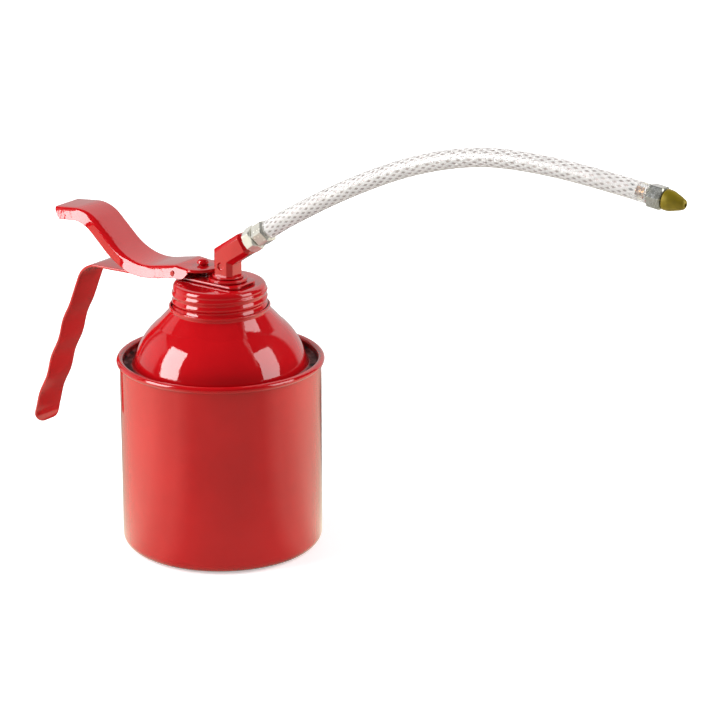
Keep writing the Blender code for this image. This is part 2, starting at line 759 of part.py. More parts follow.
def make_pivot_pin(parent):
    """Pin across the lever, with a peened head outside each flange."""
    seat = LEVER_HALF + SEAT_GAP
    profile = [(0.0, -seat - PIN_HEAD_HEIGHT)]
    profile += [(PIN_RADIUS, -seat - PIN_HEAD_HEIGHT), (PIN_HEAD_RADIUS, -seat - PIN_HEAD_HEIGHT / 2)]
    profile += [(PIN_HEAD_RADIUS, -seat), (PIN_RADIUS, -seat)]
    profile += [(radius, -height) for radius, height in reversed(profile)]
    pin = turned("pivot_pin", profile, SEGMENTS_SMALL)
    pin.location = (PIVOT_X, 0.0, PIVOT_Z)
    pin.rotation_euler = (math.pi / 2, 0.0, 0.0)
    return dress(pin, bright_steel("pivot_pin"), parent)


def lever_front_x():
    return PLUNGER_X + math.sqrt(LEVER_EYE_RADIUS ** 2 - (LEVER_NOSE_WIDTH / 2) ** 2)


def lever_route():
    """Top line of the lever from its round front to the thumb's end."""
    shoulder = PIVOT_Z + EAR_RADIUS + SEAT_GAP + LEVER_SHEET
    return rounded_route([
        (lever_front_x(), LEVER_TOP),
        (PLUNGER_X - LEVER_FLAT_BACK, LEVER_TOP, LEVER_SHOULDER_BEND),
        (PIVOT_X + LEVER_SHOULDER_SHIFT, shoulder + SLIDE_GAP, LEVER_SHOULDER_BEND),
        (LEVER_VALLEY_X, LEVER_TOP - LEVER_VALLEY_DROP, LEVER_VALLEY_BEND),
        (LEVER_CREST_X, LEVER_TOP + LEVER_CREST_RISE, LEVER_CREST_BEND),
        (LEVER_TIP_X, LEVER_TOP + LEVER_TIP_RISE),
    ])


def lever_half_width(x, to_tip):
    """Round about the rod, then widening to the full width, then tapering to the tip."""
    if x > PLUNGER_X:
        return math.sqrt(LEVER_EYE_RADIUS ** 2 - (x - PLUNGER_X) ** 2)
    waist_x = PLUNGER_X - LEVER_WAIST
    if x > waist_x:
        return mix(LEVER_EYE_RADIUS, LEVER_HALF, (PLUNGER_X - x) / LEVER_WAIST)
    taper = clamp((waist_x - x) / (waist_x - LEVER_TIP_X))
    return mix(LEVER_HALF, LEVER_TIP_WIDTH / 2, taper) - corner_inset(to_tip, LEVER_TIP_CORNER)


def lever_depth(x, to_tip):
    """Depth of the flanges, which fade to a low lip at both ends."""
    lip = LEVER_SHEET + LEVER_LIP
    front = clamp((PLUNGER_X + LEVER_FLANGE_FRONT - x) / LEVER_FLANGE_RUN)
    back = clamp(to_tip / LEVER_FLANGE_END)
    return mix(lip, LEVER_DEPTH, min(front, back))


def channel_outline(half, depth):
    """Section of the inverted channel, as (across, depth) points."""
    bend = min(LEVER_BEND, LEVER_SHEET)
    edge = bend * (1.0 - math.cos(math.radians(45.0)))
    inner = half - LEVER_SHEET
    outer_side = [(half - bend, 0.0), (half - edge, edge), (half, bend), (half, depth)]
    inner_side = [(inner, depth), (inner, LEVER_SHEET)]
    right = outer_side + inner_side
    return right + [(-across, down) for across, down in reversed(right)]


def make_thumb_lever(parent):
    route = lever_route()
    front_x = lever_front_x()
    marks = marks_of(route)
    length = marks[-1]
    lead = front_x - PLUNGER_X
    nose = [math.radians(angle) for angle in (30.0, 45.0, 60.0, 75.0, 90.0)]
    marks += [lead - LEVER_EYE_RADIUS * math.cos(angle) for angle in nose]
    marks += [lead - LEVER_FLANGE_FRONT, lead - LEVER_FLANGE_FRONT + LEVER_FLANGE_RUN]
    marks += [lead + LEVER_WAIST, length - LEVER_FLANGE_END]
    marks += [length - mark for mark in corner_marks(LEVER_TIP_CORNER)]
    stations = []
    for mark in thin_out(marks, SEAT_GAP):
        x = walk(route, mark)[0].x
        outline = channel_outline(lever_half_width(x, length - mark), lever_depth(x, length - mark))
        stations.append((mark, outline))
    lever = swept("thumb_lever", route, stations)
    pin_hole = circle(PIN_HOLE, SEGMENTS_SMALL, (PIVOT_X, PIVOT_Z))
    cut(lever, bar_along_y("pin_hole", pin_hole, LEVER_HALF + OVERRUN))
    slot_half = ROD_RADIUS + SEAT_GAP
    slot = arc((PLUNGER_X + EYE_SLOT_FRONT - slot_half, 0.0), slot_half, -90.0, 90.0, 8)
    slot += arc((PLUNGER_X - EYE_SLOT_BACK + slot_half - WELD, 0.0), slot_half, 90.0, 270.0, 8)
    cut(lever, prism("slot", slot, LEVER_TOP - LEVER_SHEET - OVERRUN, LEVER_TOP + OVERRUN))
    lever.data.transform(Matrix.Translation((-PIVOT_X, 0.0, -PIVOT_Z)))
    return dress(lever, red_enamel("thumb_lever"), parent)


def make_spout_washer(parent):
    washer = ring(
        "spout_washer", STEM_HOLE, WASHER_RADIUS, WASHER_FLOOR, WASHER_FLOOR + WASHER_THICKNESS,
        SEGMENTS_MEDIUM)
    washer.location.x = SPOUT_X
    return dress(washer, red_enamel("spout_washer"), parent)


def bar_section(width, edge):
    """Square with broken edges, as (across, y) points."""
    half = width / 2
    flat = half - edge
    return [
        (half, -flat), (half, flat), (flat, half), (-flat, half),
        (-half, flat), (-half, -flat), (-flat, -half), (flat, -half),
    ]


def elbow_bar():
    """The square bar: up from the foot, a mitre at the crossing, then along the spout."""
    ahead = Vector((math.cos(SPOUT_ANGLE), math.sin(SPOUT_ANGLE)))
    side = Vector((ahead.y, -ahead.x))
    crossing = Vector((SPOUT_X, CROSSING_Z))
    level = Vector((1.0, 0.0))
    mitre = (level + side) / (1.0 + level.dot(side))
    start = Vector((SPOUT_X, FOOT_TOP - FOOT_HEIGHT / 2))
    sections = []
    for place, across in ((start, level), (crossing, mitre), (crossing + ahead * BAR_LENGTH, side)):
        section = []
        for u, y in bar_section(BAR_WIDTH, BAR_EDGE):
            point = place + across * u
            section.append((point.x, y, point.y))
        sections.append(section)
    return loft("spout_elbow", sections)


def along_spout(item):
    """Move a cutter that was made round Z onto the spout's axis."""
    turn = Matrix.Rotation(math.pi / 2 - SPOUT_ANGLE, 4, "Y")
    item.data.transform(Matrix.Translation((SPOUT_X, 0.0, CROSSING_Z)) @ turn)
    return item


def make_spout_elbow(parent):
    elbow = elbow_bar()
    profile = [
        (0.0, STEM_FLOOR), (STEM_RADIUS, STEM_FLOOR), (STEM_RADIUS, FOOT_FLOOR),
        (FOOT_RADIUS, FOOT_FLOOR), (FOOT_RADIUS, FOOT_TOP), (0.0, FOOT_TOP),
    ]
    foot = turned("foot", profile, SEGMENTS_MEDIUM)
    foot.data.transform(Matrix.Translation((SPOUT_X, 0.0, 0.0)))
    join(elbow, foot)
    riser = rod("riser", ELBOW_BORE, STEM_FLOOR - OVERRUN, CROSSING_Z + OVERRUN, centre=(SPOUT_X, 0.0))
    cut(elbow, riser)
    cut(elbow, along_spout(rod("bore", ELBOW_BORE, 0.0, BAR_LENGTH + OVERRUN)))
    socket = rod(
        "socket", ADAPTER_SCREW_RADIUS + SEAT_GAP, BAR_LENGTH - ELBOW_SOCKET_DEPTH,
        BAR_LENGTH + OVERRUN)
    cut(elbow, along_spout(socket))
    dimple = rod("dimple", DIMPLE_RADIUS, BAR_WIDTH / 2 - DIMPLE_DEPTH, BAR_WIDTH / 2 + OVERRUN)
    stand = Matrix.Translation((SPOUT_X, 0.0, FOOT_TOP + DIMPLE_RISE))
    dimple.data.transform(stand @ Matrix.Rotation(math.pi / 2, 4, "X"))
    cut(elbow, dimple)
    return dress(elbow, red_enamel("spout_elbow"), parent)


def hex_fitting(name, flats, start, end):
    """A hexagon bar along Z with both its ends chamfered round."""
    corner = flats / 2 / math.cos(math.pi / 6)
    nut = prism(name, circle(corner, 6), start, end)
    chamfer = corner - HEX_CHAMFER
    reach = HEX_CHAMFER + OVERRUN
    profile = [
        (0.0, start), (chamfer, start), (chamfer + reach, start + reach),
        (chamfer + reach, end - reach), (chamfer, end), (0.0, end),
    ]
    chamfers = turned("chamfers", profile, SEGMENTS_MEDIUM)
    chamfers.data.transform(Matrix.Rotation(math.pi / SEGMENTS_MEDIUM, 4, "Z"))
    return combine(nut, chamfers, "INTERSECT")


def barb_profile(start, length):
    """Half outline of a solid barbed stem that points along +Z."""
    ridge = length / (BARB_RIDGES + 1)
    outline = [(0.0, start), (BARB_RADIUS, start), (BARB_RADIUS, start + ridge)]
    for index in range(1, BARB_RIDGES + 1):
        outline.append((BARB_ROOT, start + ridge * (index + 1)))
        outline.append((BARB_RADIUS, start + ridge * (index + 1)))
    outline[-1] = (0.0, start + length)
    return outline


def make_spout_adapter(parent):
    adapter = hex_fitting("spout_adapter", ADAPTER_FLATS, ADAPTER_START, ADAPTER_END)
    low = ADAPTER_START - ADAPTER_SCREW_LENGTH
    high = ADAPTER_END + ADAPTER_NOSE_LENGTH
    join(adapter, rod("screw", ADAPTER_SCREW_RADIUS, low, high))
    cut(adapter, rod("bore", ADAPTER_BORE, low - OVERRUN, high + OVERRUN))
    return dress(adapter, zinc_plate("spout_adapter"), parent)


def make_hose_tail(parent):
    tail = hex_fitting("hose_tail", TAIL_FLATS, TAIL_START, TAIL_END)
    root = TAIL_END - HEX_CHAMFER
    join(tail, turned("barb", barb_profile(root, BARB_END - root), SEGMENTS_SMALL))
    socket_end = ADAPTER_END + ADAPTER_NOSE_LENGTH + SEAT_GAP
    cut(tail, rod("socket", ADAPTER_SCREW_RADIUS + SEAT_GAP, TAIL_START - OVERRUN, socket_end))
    cut(tail, rod("bore", TAIL_BORE, socket_end - OVERRUN, BARB_END + OVERRUN))
    return dress(tail, zinc_plate("hose_tail"), parent)


def smooth_curve(points, steps):
    """Points of a smooth curve that passes through the given ones."""
    result = []
    padded = [2 * points[0] - points[1]] + points + [2 * points[-1] - points[-2]]
    for p0, p1, p2, p3 in zip(padded, padded[1:], padded[2:], padded[3:]):
        for step in range(steps):
            t = step / steps
            bend = 2 * p0 - 5 * p1 + 4 * p2 - p3
            twist = 3 * p1 - p0 - 3 * p2 + p3
            result.append((2 * p1 + (p2 - p0) * t + bend * t ** 2 + twist * t ** 3) / 2)
    result.append(points[-1])
    return result


def hose_points():
    """Centre line of the hose: straight over the barb and at the tip, smooth between."""
    ahead = Vector((math.cos(SPOUT_ANGLE), math.sin(SPOUT_ANGLE)))
    tip = Vector((math.cos(TIP_ANGLE), math.sin(TIP_ANGLE)))
    crossing = Vector((SPOUT_X, CROSSING_Z))
    start = crossing + ahead * HOSE_START
    lead = crossing + ahead * (BARB_END + OVERRUN)
    tail = HOSE_END - tip * (TIP_BARB_LENGTH + OVERRUN)
    middle = [Vector(point) * MM for point in HOSE_ROUTE]
    fine = smooth_curve([lead] + middle + [tail], BEND_STEPS)
    length = marks_of(fine)[-1]
    steps = round(length / HOSE_STEP)
    points = [walk(fine, length * step / steps)[0] for step in range(steps + 1)]
    return [start] + points + [HOSE_END]


def tube_along(name, points, radius):
    """A round tube along (x, z) points, as a curve with a bevel and filled caps."""
    curve = bpy.data.curves.new(name, "CURVE")
    curve.dimensions = "3D"
    curve.bevel_depth = radius
    curve.bevel_resolution = 4
    curve.use_fill_caps = True
    spline = curve.splines.new("POLY")
    spline.points.add(len(points) - 1)
    for target, point in zip(spline.points, points):
        target.co = (point.x, 0.0, point.y, 1.0)
    item = bpy.data.objects.new(name, curve)
    bpy.context.scene.collection.objects.link(item)
    return item


def to_mesh(item):
    """Turn a curve object into a mesh object of the same name."""
    name = item.name
    graph = bpy.context.evaluated_depsgraph_get()
    bm = bmesh.new()
    bm.from_mesh(bpy.data.meshes.new_from_object(item.evaluated_get(graph)))
    bpy.data.objects.remove(item, do_unlink=True)
    return to_object(name, bm)


def make_hose(parent):
    points = hose_points()
    hose = to_mesh(tube_along("hose", points, HOSE_RADIUS))
    bore_points = list(points)
    bore_points[0] = points[0] + (points[0] - points[1]).normalized() * OVERRUN
    bore_points[-1] = points[-1] + (points[-1] - points[-2]).normalized() * OVERRUN
    cut(hose, to_mesh(tube_along("bore", bore_points, HOSE_BORE)))
    return dress(hose, clear_hose("hose"), parent)


def make_nozzle_body(parent):
    """Hexagon with a barb back into the hose and a spigot for the nozzle."""
    body = hex_fitting("nozzle_body", TIP_FLATS, SEAT_GAP, TIP_END)
    root = SEAT_GAP + HEX_CHAMFER
    stem = turned("barb", barb_profile(-root, TIP_BARB_LENGTH + root), SEGMENTS_SMALL)
    stem.data.transform(Matrix.Rotation(math.pi, 4, "X"))
    join(body, stem)
    join(body, rod("spigot", TIP_SPIGOT_RADIUS, TIP_END - HEX_CHAMFER, TIP_END + TIP_SPIGOT_LENGTH))
    low = -TIP_BARB_LENGTH - OVERRUN
    cut(body, rod("bore", TAIL_BORE, low, TIP_END + TIP_SPIGOT_LENGTH + OVERRUN))
    return dress(body, zinc_plate("nozzle_body"), parent)


def make_nozzle(parent):
    """Cone with a round tip, a fine bore and a socket for the fitting's spigot."""
    socket = TIP_SPIGOT_RADIUS + SEAT_GAP
    socket_end = TIP_END + TIP_SPIGOT_LENGTH + SEAT_GAP
    tip_round = min(NOZZLE_TIP_ROUND, NOZZLE_TIP_RADIUS - NOZZLE_BORE)
    profile = [(NOZZLE_BORE, socket_end), (socket, socket_end), (socket, NOZZLE_START)]
    profile.append((NOZZLE_RADIUS - NOZZLE_BASE_EDGE, NOZZLE_START))
    profile.append((NOZZLE_RADIUS, NOZZLE_START + NOZZLE_BASE_EDGE))
    centre = (NOZZLE_TIP_RADIUS - tip_round, NOZZLE_END - tip_round)
    profile += arc(centre, tip_round, NOZZLE_TAPER, 90.0, 3)
    profile.append((NOZZLE_BORE, NOZZLE_END))
    return dress(turned("nozzle", profile, SEGMENTS_MEDIUM), olive_brass("nozzle"), parent)


def egg_outline():
    """Outline round the cylinder and the outlet duct, with straight sides between them."""
    span = SPOUT_X - PLUNGER_X
    slope = math.degrees(math.acos((CYLINDER_OUTSIDE - DUCT_OUTSIDE) / span))
    outline = arc((PLUNGER_X, 0.0), CYLINDER_OUTSIDE, slope, 360.0 - slope, 14)
    outline += arc((SPOUT_X, 0.0), DUCT_OUTSIDE, -slope, slope, 10)
    return outline


def make_pump_body(parent):
    """The block under the cap, with the cylinder hanging from it and the ducts in it."""
    body = prism("pump_body", egg_outline(), HEAD_FLOOR, HEAD_TOP)
    axis = (PLUNGER_X, 0.0)
    barrel = rod(
        "barrel", CYLINDER_OUTSIDE - SLIDE_GAP, CYLINDER_FLOOR, HEAD_FLOOR + OVERRUN,
        SEGMENTS_MEDIUM, axis)
    join(body, barrel)
    duct_floor = HEAD_FLOOR + DUCT_FLOOR
    duct_axis = (SPOUT_X, 0.0)
    gland_floor = HEAD_TOP - GLAND_DEPTH
    bores = (
        (CYLINDER_RADIUS, CYLINDER_FLOOR - OVERRUN, CYLINDER_TOP, SEGMENTS_MEDIUM, axis),
        (GLAND_RADIUS + SEAT_GAP, gland_floor, HEAD_TOP + OVERRUN, SEGMENTS_SMALL, axis),
        (ROD_HOLE, CYLINDER_TOP - OVERRUN, gland_floor + OVERRUN, SEGMENTS_SMALL, axis),
        (STEM_HOLE, STEM_FLOOR - SEAT_GAP, HEAD_TOP + OVERRUN, SEGMENTS_SMALL, duct_axis),
        (DUCT_RADIUS, duct_floor, HEAD_TOP, SEGMENTS_SMALL, duct_axis),
    )
    for radius, low, high, segments, centre in bores:
        cut(body, rod("bore", radius, low, high, segments, centre))
    cross = rod("cross_duct", CROSS_DUCT_RADIUS, PLUNGER_X, SPOUT_X)
    turn = Matrix.Rotation(math.pi / 2, 4, "Y")
    cross.data.transform(Matrix.Translation((0.0, 0.0, duct_floor + CROSS_DUCT_RISE)) @ turn)
    cut(body, cross)
    return dress(body, cast_alloy("pump_body"), parent)


def make_rod_packing(parent):
    """A soft ring in the casting, and the bush that lies over it under the cap."""
    inside = ROD_RADIUS + SEAT_GAP
    seal_floor = HEAD_TOP - GLAND_DEPTH + SEAT_GAP
    seal_top = seal_floor + ROD_SEAL_HEIGHT
    seal = ring("rod_seal", inside, GLAND_RADIUS, seal_floor, seal_top, SEGMENTS_SMALL)
    dress(seal, dark_rubber("rod_seal"), parent)
    gland = ring(
        "rod_gland", inside, GLAND_RADIUS, seal_top + SEAT_GAP, HEAD_TOP - SEAT_GAP,
        SEGMENTS_SMALL)
    dress(gland, brass("rod_gland"), parent)


def ball_rest(seat_top, ball_radius, seat_radius):
    """Height of a ball's centre over a round seat, a slide gap clear of its edge."""
    return seat_top + math.sqrt((ball_radius + SLIDE_GAP) ** 2 - seat_radius ** 2)


def piston_levels():
    """Heights inside the piston: ball at rest, chamber roof, rod socket and boss top."""
    seat_top = PISTON_FLOOR + PISTON_INLET_LENGTH
    rest = ball_rest(seat_top, PISTON_BALL_RADIUS, PISTON_INLET_RADIUS)
    roof = rest + PISTON_BALL_RADIUS + PISTON_BALL_LIFT + SLIDE_GAP
    socket = roof + PISTON_ROOF
    return seat_top, rest, roof, socket, socket + ROD_SOCKET_DEPTH


def make_piston(parent):
    seat_top, rest, roof, socket, boss_top = piston_levels()
    groove = PISTON_RADIUS - PISTON_GROOVE_DEPTH
    groove_floor = PISTON_FLOOR + (PISTON_HEIGHT - PISTON_GROOVE_HEIGHT) / 2
    groove_top = groove_floor + PISTON_GROOVE_HEIGHT
    cage = PISTON_BALL_RADIUS + PISTON_BALL_GAP
    grip = ROD_RADIUS + SEAT_GAP
    profile = [
        (0.0, roof), (cage, roof), (cage, seat_top), (PISTON_INLET_RADIUS, seat_top),
        (PISTON_INLET_RADIUS, PISTON_FLOOR), (PISTON_RADIUS, PISTON_FLOOR),
        (PISTON_RADIUS, groove_floor), (groove, groove_floor), (groove, groove_top),
        (PISTON_RADIUS, groove_top), (PISTON_RADIUS, PISTON_TOP),
        (PISTON_BOSS_RADIUS, PISTON_TOP), (PISTON_BOSS_RADIUS, boss_top),
        (grip, boss_top), (grip, socket), (0.0, socket),
    ]
    piston = turned("piston", profile, SEGMENTS_MEDIUM)
    port_outline = circle(PISTON_PORT_RADIUS, SEGMENTS_SMALL // 2, (0.0, roof - PISTON_PORT_RADIUS))
    cut(piston, bar_along_y("ports", port_outline, PISTON_BOSS_RADIUS + OVERRUN))
    dress(piston, brass("piston"), parent)
    seal = ring(
        "piston_seal", groove + SLIDE_GAP, CYLINDER_RADIUS - SLIDE_GAP,
        groove_floor + SLIDE_GAP, groove_top - SLIDE_GAP, SEGMENTS_MEDIUM)
    dress(seal, dark_rubber("piston_seal"), parent)
    return rest


def make_plunger_rod(parent):
    """The rod, whose head's underside is relieved towards its edge."""
    seat_top, rest, roof, socket, boss_top = piston_levels()
    floor = socket + SEAT_GAP
    underside = LEVER_TOP + SEAT_GAP
    top = underside + ROD_HEAD_HEIGHT
    profile = [(0.0, floor), (ROD_RADIUS, floor), (ROD_RADIUS, underside)]
    profile.append((ROD_HEAD_RADIUS, underside + ROD_HEAD_RELIEF))
    centre = (ROD_HEAD_RADIUS - ROD_HEAD_ROUND, top - ROD_HEAD_ROUND)
    profile += arc(centre, ROD_HEAD_ROUND, 0.0, 90.0, 4)
    profile.append((0.0, top))
    return dress(turned("plunger_rod", profile, SEGMENTS_SMALL), bright_steel("plunger_rod"), parent)


def make_return_spring(parent):
    """A helix of wire from the piston's shoulder to the cylinder's roof."""
    low = PISTON_TOP + SEAT_GAP + SPRING_WIRE_RADIUS
    high = CYLINDER_TOP - SEAT_GAP - SPRING_WIRE_RADIUS
    steps = round(SPRING_TURNS * SPRING_STEPS)
    points = []
    for step in range(steps + 1):
        angle = math.tau * SPRING_TURNS * step / steps
        height = mix(low, high, step / steps)
        points.append((SPRING_RADIUS * math.cos(angle), SPRING_RADIUS * math.sin(angle), height, 1.0))
    curve = bpy.data.curves.new("return_spring", "CURVE")
    curve.dimensions = "3D"
    curve.bevel_depth = SPRING_WIRE_RADIUS
    curve.bevel_resolution = 1
    curve.use_fill_caps = True
    spline = curve.splines.new("POLY")
    spline.points.add(steps)
    for target, point in zip(spline.points, points):
        target.co = point
    spring = bpy.data.objects.new("return_spring", curve)
    bpy.context.scene.collection.objects.link(spring)
    return dress(spring, bright_steel("return_spring"), parent)


def make_inlet_seat(parent):
    """Plug in the cylinder's foot, with the inlet valve's cage and the tube's socket."""
    socket_top = PLUG_FLOOR + TUBE_ENTRY - INLET_COLLAR_LENGTH - INLET_FLANGE + SEAT_GAP
    seat_top = socket_top + INLET_SEAT_LENGTH
    rest = ball_rest(seat_top, INLET_BALL_RADIUS, INLET_SEAT_RADIUS)
    flange_floor = PLUG_FLOOR - INLET_FLANGE
    collar_floor = flange_floor - INLET_COLLAR_LENGTH
    collar = TUBE_SOCKET + INLET_COLLAR_WALL
    plug = CYLINDER_RADIUS - SEAT_GAP
    profile = [
        (TUBE_SOCKET, collar_floor), (collar, collar_floor), (collar, flange_floor),
        (CYLINDER_OUTSIDE, flange_floor), (CYLINDER_OUTSIDE, PLUG_FLOOR), (plug, PLUG_FLOOR),
        (plug, PLUG_TOP), (INLET_CAGE_RADIUS, PLUG_TOP), (INLET_CAGE_RADIUS, seat_top),
        (INLET_SEAT_RADIUS, seat_top), (INLET_SEAT_RADIUS, socket_top), (TUBE_SOCKET, socket_top),
    ]
    seat = turned("inlet_seat", profile, SEGMENTS_MEDIUM)
    bar_z = rest + INLET_BALL_RADIUS + INLET_BALL_LIFT + SLIDE_GAP + STOP_BAR_RADIUS
    bar_outline = circle(STOP_BAR_RADIUS, SEGMENTS_SMALL // 2, (0.0, bar_z))
    join(seat, bar_along_y("stop_bar", bar_outline, (INLET_CAGE_RADIUS + plug) / 2))
    dress(seat, brass("inlet_seat"), parent)
    return rest, socket_top


def make_suction_tube(parent, socket_top):
    tube = ring(
        "suction_tube", TUBE_RADIUS - TUBE_WALL, TUBE_RADIUS, TUBE_FLOOR, socket_top - SEAT_GAP,
        SEGMENTS_SMALL)
    return dress(tube, white_plastic("suction_tube"), parent)


def make_strainer(parent):
    """A slotted cup on the tube's foot."""
    cup_top = STRAINER_FLOOR + STRAINER_CUP
    top = STRAINER_FLOOR + STRAINER_HEIGHT
    neck = TUBE_SOCKET + STRAINER_WALL
    inside = STRAINER_RADIUS - STRAINER_WALL
    profile = [
        (0.0, STRAINER_FLOOR), (STRAINER_RADIUS, STRAINER_FLOOR),
        (STRAINER_RADIUS, cup_top + STRAINER_WALL), (neck, cup_top + 2 * STRAINER_WALL),
        (neck, top), (TUBE_SOCKET, top), (TUBE_SOCKET, cup_top), (inside, cup_top),
        (inside, STRAINER_FLOOR + STRAINER_WALL), (0.0, STRAINER_FLOOR + STRAINER_WALL),
    ]
    strainer = turned("strainer", profile, SEGMENTS_SMALL)
    reach = STRAINER_RADIUS + OVERRUN
    half = STRAINER_SLOT_WIDTH / 2
    low = STRAINER_FLOOR + STRAINER_SLOT_RISE
    for index in range(STRAINER_SLOT_CUTS):
        turn = math.pi * index / STRAINER_SLOT_CUTS
        outline = [(-reach, -half), (reach, -half), (reach, half), (-reach, half)]
        slot = prism("slot", outline, low, low + STRAINER_SLOT_HEIGHT)
        slot.data.transform(Matrix.Rotation(turn, 4, "Z"))
        cut(strainer, slot)
    return dress(strainer, white_plastic("strainer"), parent)


def build():
    clear_scene()
    can_axis = station("can_axis", (0.0, 0.0, 0.0), 0.0, None)
    make_can_body(can_axis)
    make_dome_top(can_axis)
    make_cap_gasket(can_axis)

    screw_axis = station("screw_axis", (0.0, 0.0, 0.0), 0.0, can_axis)
    make_cap(screw_axis)
    make_handle_strip(screw_axis)
    make_spout_washer(screw_axis)
    make_spout_elbow(screw_axis)
    make_pump_body(screw_axis)
    make_pivot_pin(screw_axis)
    make_hose(screw_axis)

    lever_pivot = station("lever_pivot", (PIVOT_X, 0.0, PIVOT_Z), 0.0, screw_axis)
    make_thumb_lever(lever_pivot)

    spout_axis = station(
        "spout_axis", (SPOUT_X, 0.0, CROSSING_Z), math.pi / 2 - SPOUT_ANGLE, screw_axis)
    make_spout_adapter(spout_axis)
    make_hose_tail(spout_axis)

    tip_axis = station(
        "tip_axis", (HOSE_END.x, 0.0, HOSE_END.y), math.pi / 2 - TIP_ANGLE, screw_axis)
    make_nozzle_body(tip_axis)
    make_nozzle(tip_axis)

    pump_axis = station("pump_axis", (PLUNGER_X, 0.0, 0.0), 0.0, screw_axis)
    make_rod_packing(pump_axis)
    make_return_spring(pump_axis)
    inlet_rest, socket_top = make_inlet_seat(pump_axis)
    make_suction_tube(pump_axis, socket_top)
    make_strainer(pump_axis)

    plunger_axis = station("plunger_axis", (0.0, 0.0, 0.0), 0.0, pump_axis)
    make_plunger_rod(plunger_axis)
    piston_rest = make_piston(plunger_axis)
    piston_ball = ball("piston_ball", PISTON_BALL_RADIUS, piston_rest)
    dress(piston_ball, bright_steel("piston_ball"), plunger_axis)
    inlet_ball = ball("inlet_ball", INLET_BALL_RADIUS, inlet_rest)
    dress(inlet_ball, bright_steel("inlet_ball"), pump_axis)


build()
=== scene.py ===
import math

import bmesh
import bpy
import numpy as np
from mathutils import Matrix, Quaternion, Vector


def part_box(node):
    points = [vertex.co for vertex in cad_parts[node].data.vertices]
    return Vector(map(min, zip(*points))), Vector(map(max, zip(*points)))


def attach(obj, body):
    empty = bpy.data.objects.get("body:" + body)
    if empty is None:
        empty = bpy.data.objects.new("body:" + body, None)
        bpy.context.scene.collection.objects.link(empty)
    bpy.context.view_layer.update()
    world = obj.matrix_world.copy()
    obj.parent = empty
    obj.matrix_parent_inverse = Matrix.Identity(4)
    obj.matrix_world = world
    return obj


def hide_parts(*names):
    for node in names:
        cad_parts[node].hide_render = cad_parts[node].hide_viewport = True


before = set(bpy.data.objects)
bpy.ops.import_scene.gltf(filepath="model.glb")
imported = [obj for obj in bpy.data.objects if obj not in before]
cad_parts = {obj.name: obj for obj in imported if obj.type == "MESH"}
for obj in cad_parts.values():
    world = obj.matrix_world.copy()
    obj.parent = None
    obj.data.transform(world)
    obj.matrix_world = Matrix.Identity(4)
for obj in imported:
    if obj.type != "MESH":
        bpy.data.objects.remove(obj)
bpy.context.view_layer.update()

mm = 0.001  # sizes below are in millimetres, and meshes in metres
seatGap = 0.3  # gap between touching pieces
fullTurn = 2 * math.pi
nearlyStraight = 1.565  # half the angle between two sides, in radians, past which their corner gets no arc
brokenCorner = 0.985  # how far a hexagon's corners reach, as a share of sharp ones


# lines and surfaces


def unit(vectors):
    # each vector over its own length
    return vectors / np.linalg.norm(vectors, axis=-1, keepdims=True)


def outward(heading, height):
    # unit vector at a heading from +X and a height over the floor, in degrees
    a, b = math.radians(heading), math.radians(height)
    return np.array([math.cos(a) * math.cos(b), math.sin(a) * math.cos(b), math.sin(b)])


def arcLine(centre, radius, start, end, steps):
    # centre + radius (cos a, sin a), for the angle a from start to end in degrees
    angle = np.radians(np.linspace(start, end, steps + 1))
    return np.stack([centre[0] + radius * np.cos(angle), centre[1] + radius * np.sin(angle)], -1)


def roundedLine(corners, steps=8):
    # straight stretches between corners (x, z, bend), with an arc of radius bend that touches both sides
    places = np.array([corner[:2] for corner in corners], float)
    parts = [places[:1]]
    for before, here, after, corner in zip(places, places[1:], places[2:], corners[1:]):
        bend = corner[2] if len(corner) > 2 else 0.0
        back, ahead = unit(before - here), unit(after - here)
        half = math.acos(np.clip(back @ ahead, -1.0, 1.0)) / 2
        if bend <= 0.0 or half > nearlyStraight:
            parts.append(here[None])
            continue
        reach = bend / math.tan(half)
        centre = here + unit(back + ahead) * bend / math.sin(half)
        first, last = here + back * reach - centre, here + ahead * reach - centre
        start = math.atan2(first[1], first[0])
        sweep = (math.atan2(last[1], last[0]) - start + math.pi) % fullTurn - math.pi
        angle = start + sweep * np.linspace(0.0, 1.0, steps + 1)
        parts.append(centre + bend * np.stack([np.cos(angle), np.sin(angle)], -1))
    return np.concatenate(parts + [places[-1:]])


def smoothLine(points, steps):
    # Catmull-Rom: a cubic between each two points, whose slopes come from the points beside them
    padded = np.concatenate([[2 * points[0] - points[1]], points, [2 * points[-1] - points[-2]]])
    p0, p1, p2, p3 = (padded[k:len(padded) - 3 + k, None] for k in range(4))
    t = np.linspace(0.0, 1.0, steps, endpoint=False)[None, :, None]
    bend, twist = 2 * p0 - 5 * p1 + 4 * p2 - p3, 3 * p1 - p0 - 3 * p2 + p3
    curve = (2 * p1 + (p2 - p0) * t + bend * t ** 2 + twist * t ** 3) / 2
    return np.concatenate([curve.reshape(-1, points.shape[1]), points[-1:]])


def distances(line):
    # distance from a line's start to each of its points
    return np.concatenate([[0.0], np.cumsum(np.linalg.norm(np.diff(line, axis=0), axis=1))])


def placed(line, marks):
    # points of a line at the given distances along it
    own = distances(line)
    return np.stack([np.interp(marks, own, line[:, axis]) for axis in range(line.shape[1])], -1)


def marksFor(line, step, extra=()):
    # the line's own points, equal steps between them and some more distances, sorted and none too close
    own = distances(line)
    marks = np.concatenate([own, np.arange(0.0, own[-1], step), np.asarray(extra, float)])
    marks = np.unique(np.clip(marks, 0.0, own[-1]).round(3))
    kept = marks[np.concatenate([[True], np.diff(marks) > 0.04])]
    kept[-1] = own[-1]
    return kept


def cornerInset(distance, radius):
    # how far a round corner draws the side in, at a distance from the end
    left = np.maximum(0.0, radius - distance)
    return radius - np.sqrt(radius ** 2 - left ** 2)



